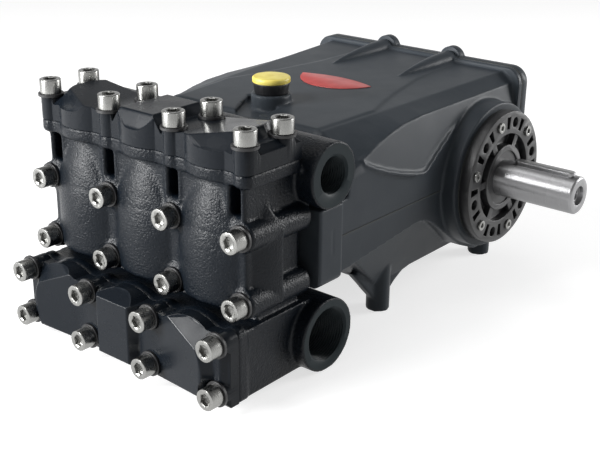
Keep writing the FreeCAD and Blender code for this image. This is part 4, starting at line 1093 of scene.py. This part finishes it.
# %% Floor
FLOOR_HALF = 4.0
FLOOR_SEEN = 0.68
corners = np.array([[-1, -1, 0], [1, -1, 0], [1, 1, 0], [-1, 1, 0]]) * FLOOR_HALF
floor_mesh = bpy.data.meshes.new("floor")
floor_mesh.from_pydata(corners.tolist(), [], [(0, 1, 2, 3)])
floor = bpy.data.objects.new("floor", floor_mesh)
bpy.context.scene.collection.objects.link(floor)


def seen_directly(tree):
    """One for a ray from the camera, from a mirror-like surface or through glass, else nothing."""
    rays = tree.nodes.new("ShaderNodeLightPath")
    total = rays.outputs["Is Camera Ray"]
    for kind in ("Is Glossy Ray", "Is Transmission Ray"):
        either = tree.nodes.new("ShaderNodeMath")
        either.operation = "MAXIMUM"
        tree.links.new(total, either.inputs[0])
        tree.links.new(rays.outputs[kind], either.inputs[1])
        total = either.outputs["Value"]
    return total


def seen_level(tree, otherwise, seen, socket):
    """Gives a socket one value for rays that see the background, and another for the rest."""
    level = tree.nodes.new("ShaderNodeMapRange")
    level.inputs["To Min"].default_value = otherwise
    level.inputs["To Max"].default_value = seen
    tree.links.new(seen_directly(tree), level.inputs["Value"])
    tree.links.new(level.outputs["Result"], socket)


floor_paint, tree, shader, place = new_material(
    "pale_floor", (0.50, 0.50, 0.50), 0.9, Specular_IOR_Level=0.0)
shader.inputs["Emission Color"].default_value = (1, 1, 1, 1)
seen_level(tree, 0.0, FLOOR_SEEN, shader.inputs["Emission Strength"])
floor_mesh.materials.append(floor_paint)

# %% [markdown]
# Black paint shows little but what it mirrors, so the lamps are placed for their
# reflections: the key lamp low in front for the cylinders' long highlights, one high on
# the left for the edges of the covers, one overhead for the deck, and one behind on
# the drive side. The sky is white at the horizon and grey overhead.

# %% Lamps and world
PUMP_MIDDLE = (0, -0.1, 0.1)
SKY_LIGHT, SKY_SEEN = 0.45, 1.0


def add_lamp(name, place, target, size, power):
    """A square soft lamp that faces a target."""
    data = bpy.data.lights.new(name, "AREA")
    data.shape = "SQUARE"
    data.size = size
    data.energy = power
    lamp = bpy.data.objects.new(name, data)
    bpy.context.scene.collection.objects.link(lamp)
    away = np.array(place) - np.array(target)
    away /= np.linalg.norm(away)
    first, second = across_axis(away)
    axes = np.column_stack([first, second, away])
    lamp.matrix_world = Matrix.Translation(place) @ Matrix(axes.tolist()).to_4x4()
    lamp.visible_camera = False
    print(name, "of", power, "watts")


add_lamp("top_lamp", (-0.2, -0.2, 1.6), PUMP_MIDDLE, 0.9, 6)
add_lamp("key_lamp", (-0.95, -1.75, 0.50), PUMP_MIDDLE, 0.6, 66)
add_lamp("left_lamp", (-0.50, -1.49, 1.45), PUMP_MIDDLE, 0.6, 20)
add_lamp("rear_lamp", (1.15, 1.5, 0.55), PUMP_MIDDLE, 0.8, 29)

world = bpy.data.worlds.new("studio")
bpy.context.scene.world = world
world.use_nodes = True
tree = world.node_tree
background = tree.nodes["Background"]
way = tree.nodes.new("ShaderNodeSeparateXYZ")
tree.links.new(tree.nodes.new("ShaderNodeTexCoord").outputs["Generated"], way.inputs["Vector"])
sky = tree.nodes.new("ShaderNodeValToRGB")
sky.color_ramp.elements[0].position = 0.08
sky.color_ramp.elements[0].color = (1, 1, 1, 1)
sky.color_ramp.elements[1].position = 0.62
sky.color_ramp.elements[1].color = (0.25, 0.25, 0.25, 1)
tree.links.new(way.outputs["Z"], sky.inputs["Fac"])
tree.links.new(sky.outputs["Color"], background.inputs["Color"])
seen_level(tree, SKY_LIGHT, SKY_SEEN, background.inputs["Strength"])

bpy.context.scene.view_settings.view_transform = "Standard"
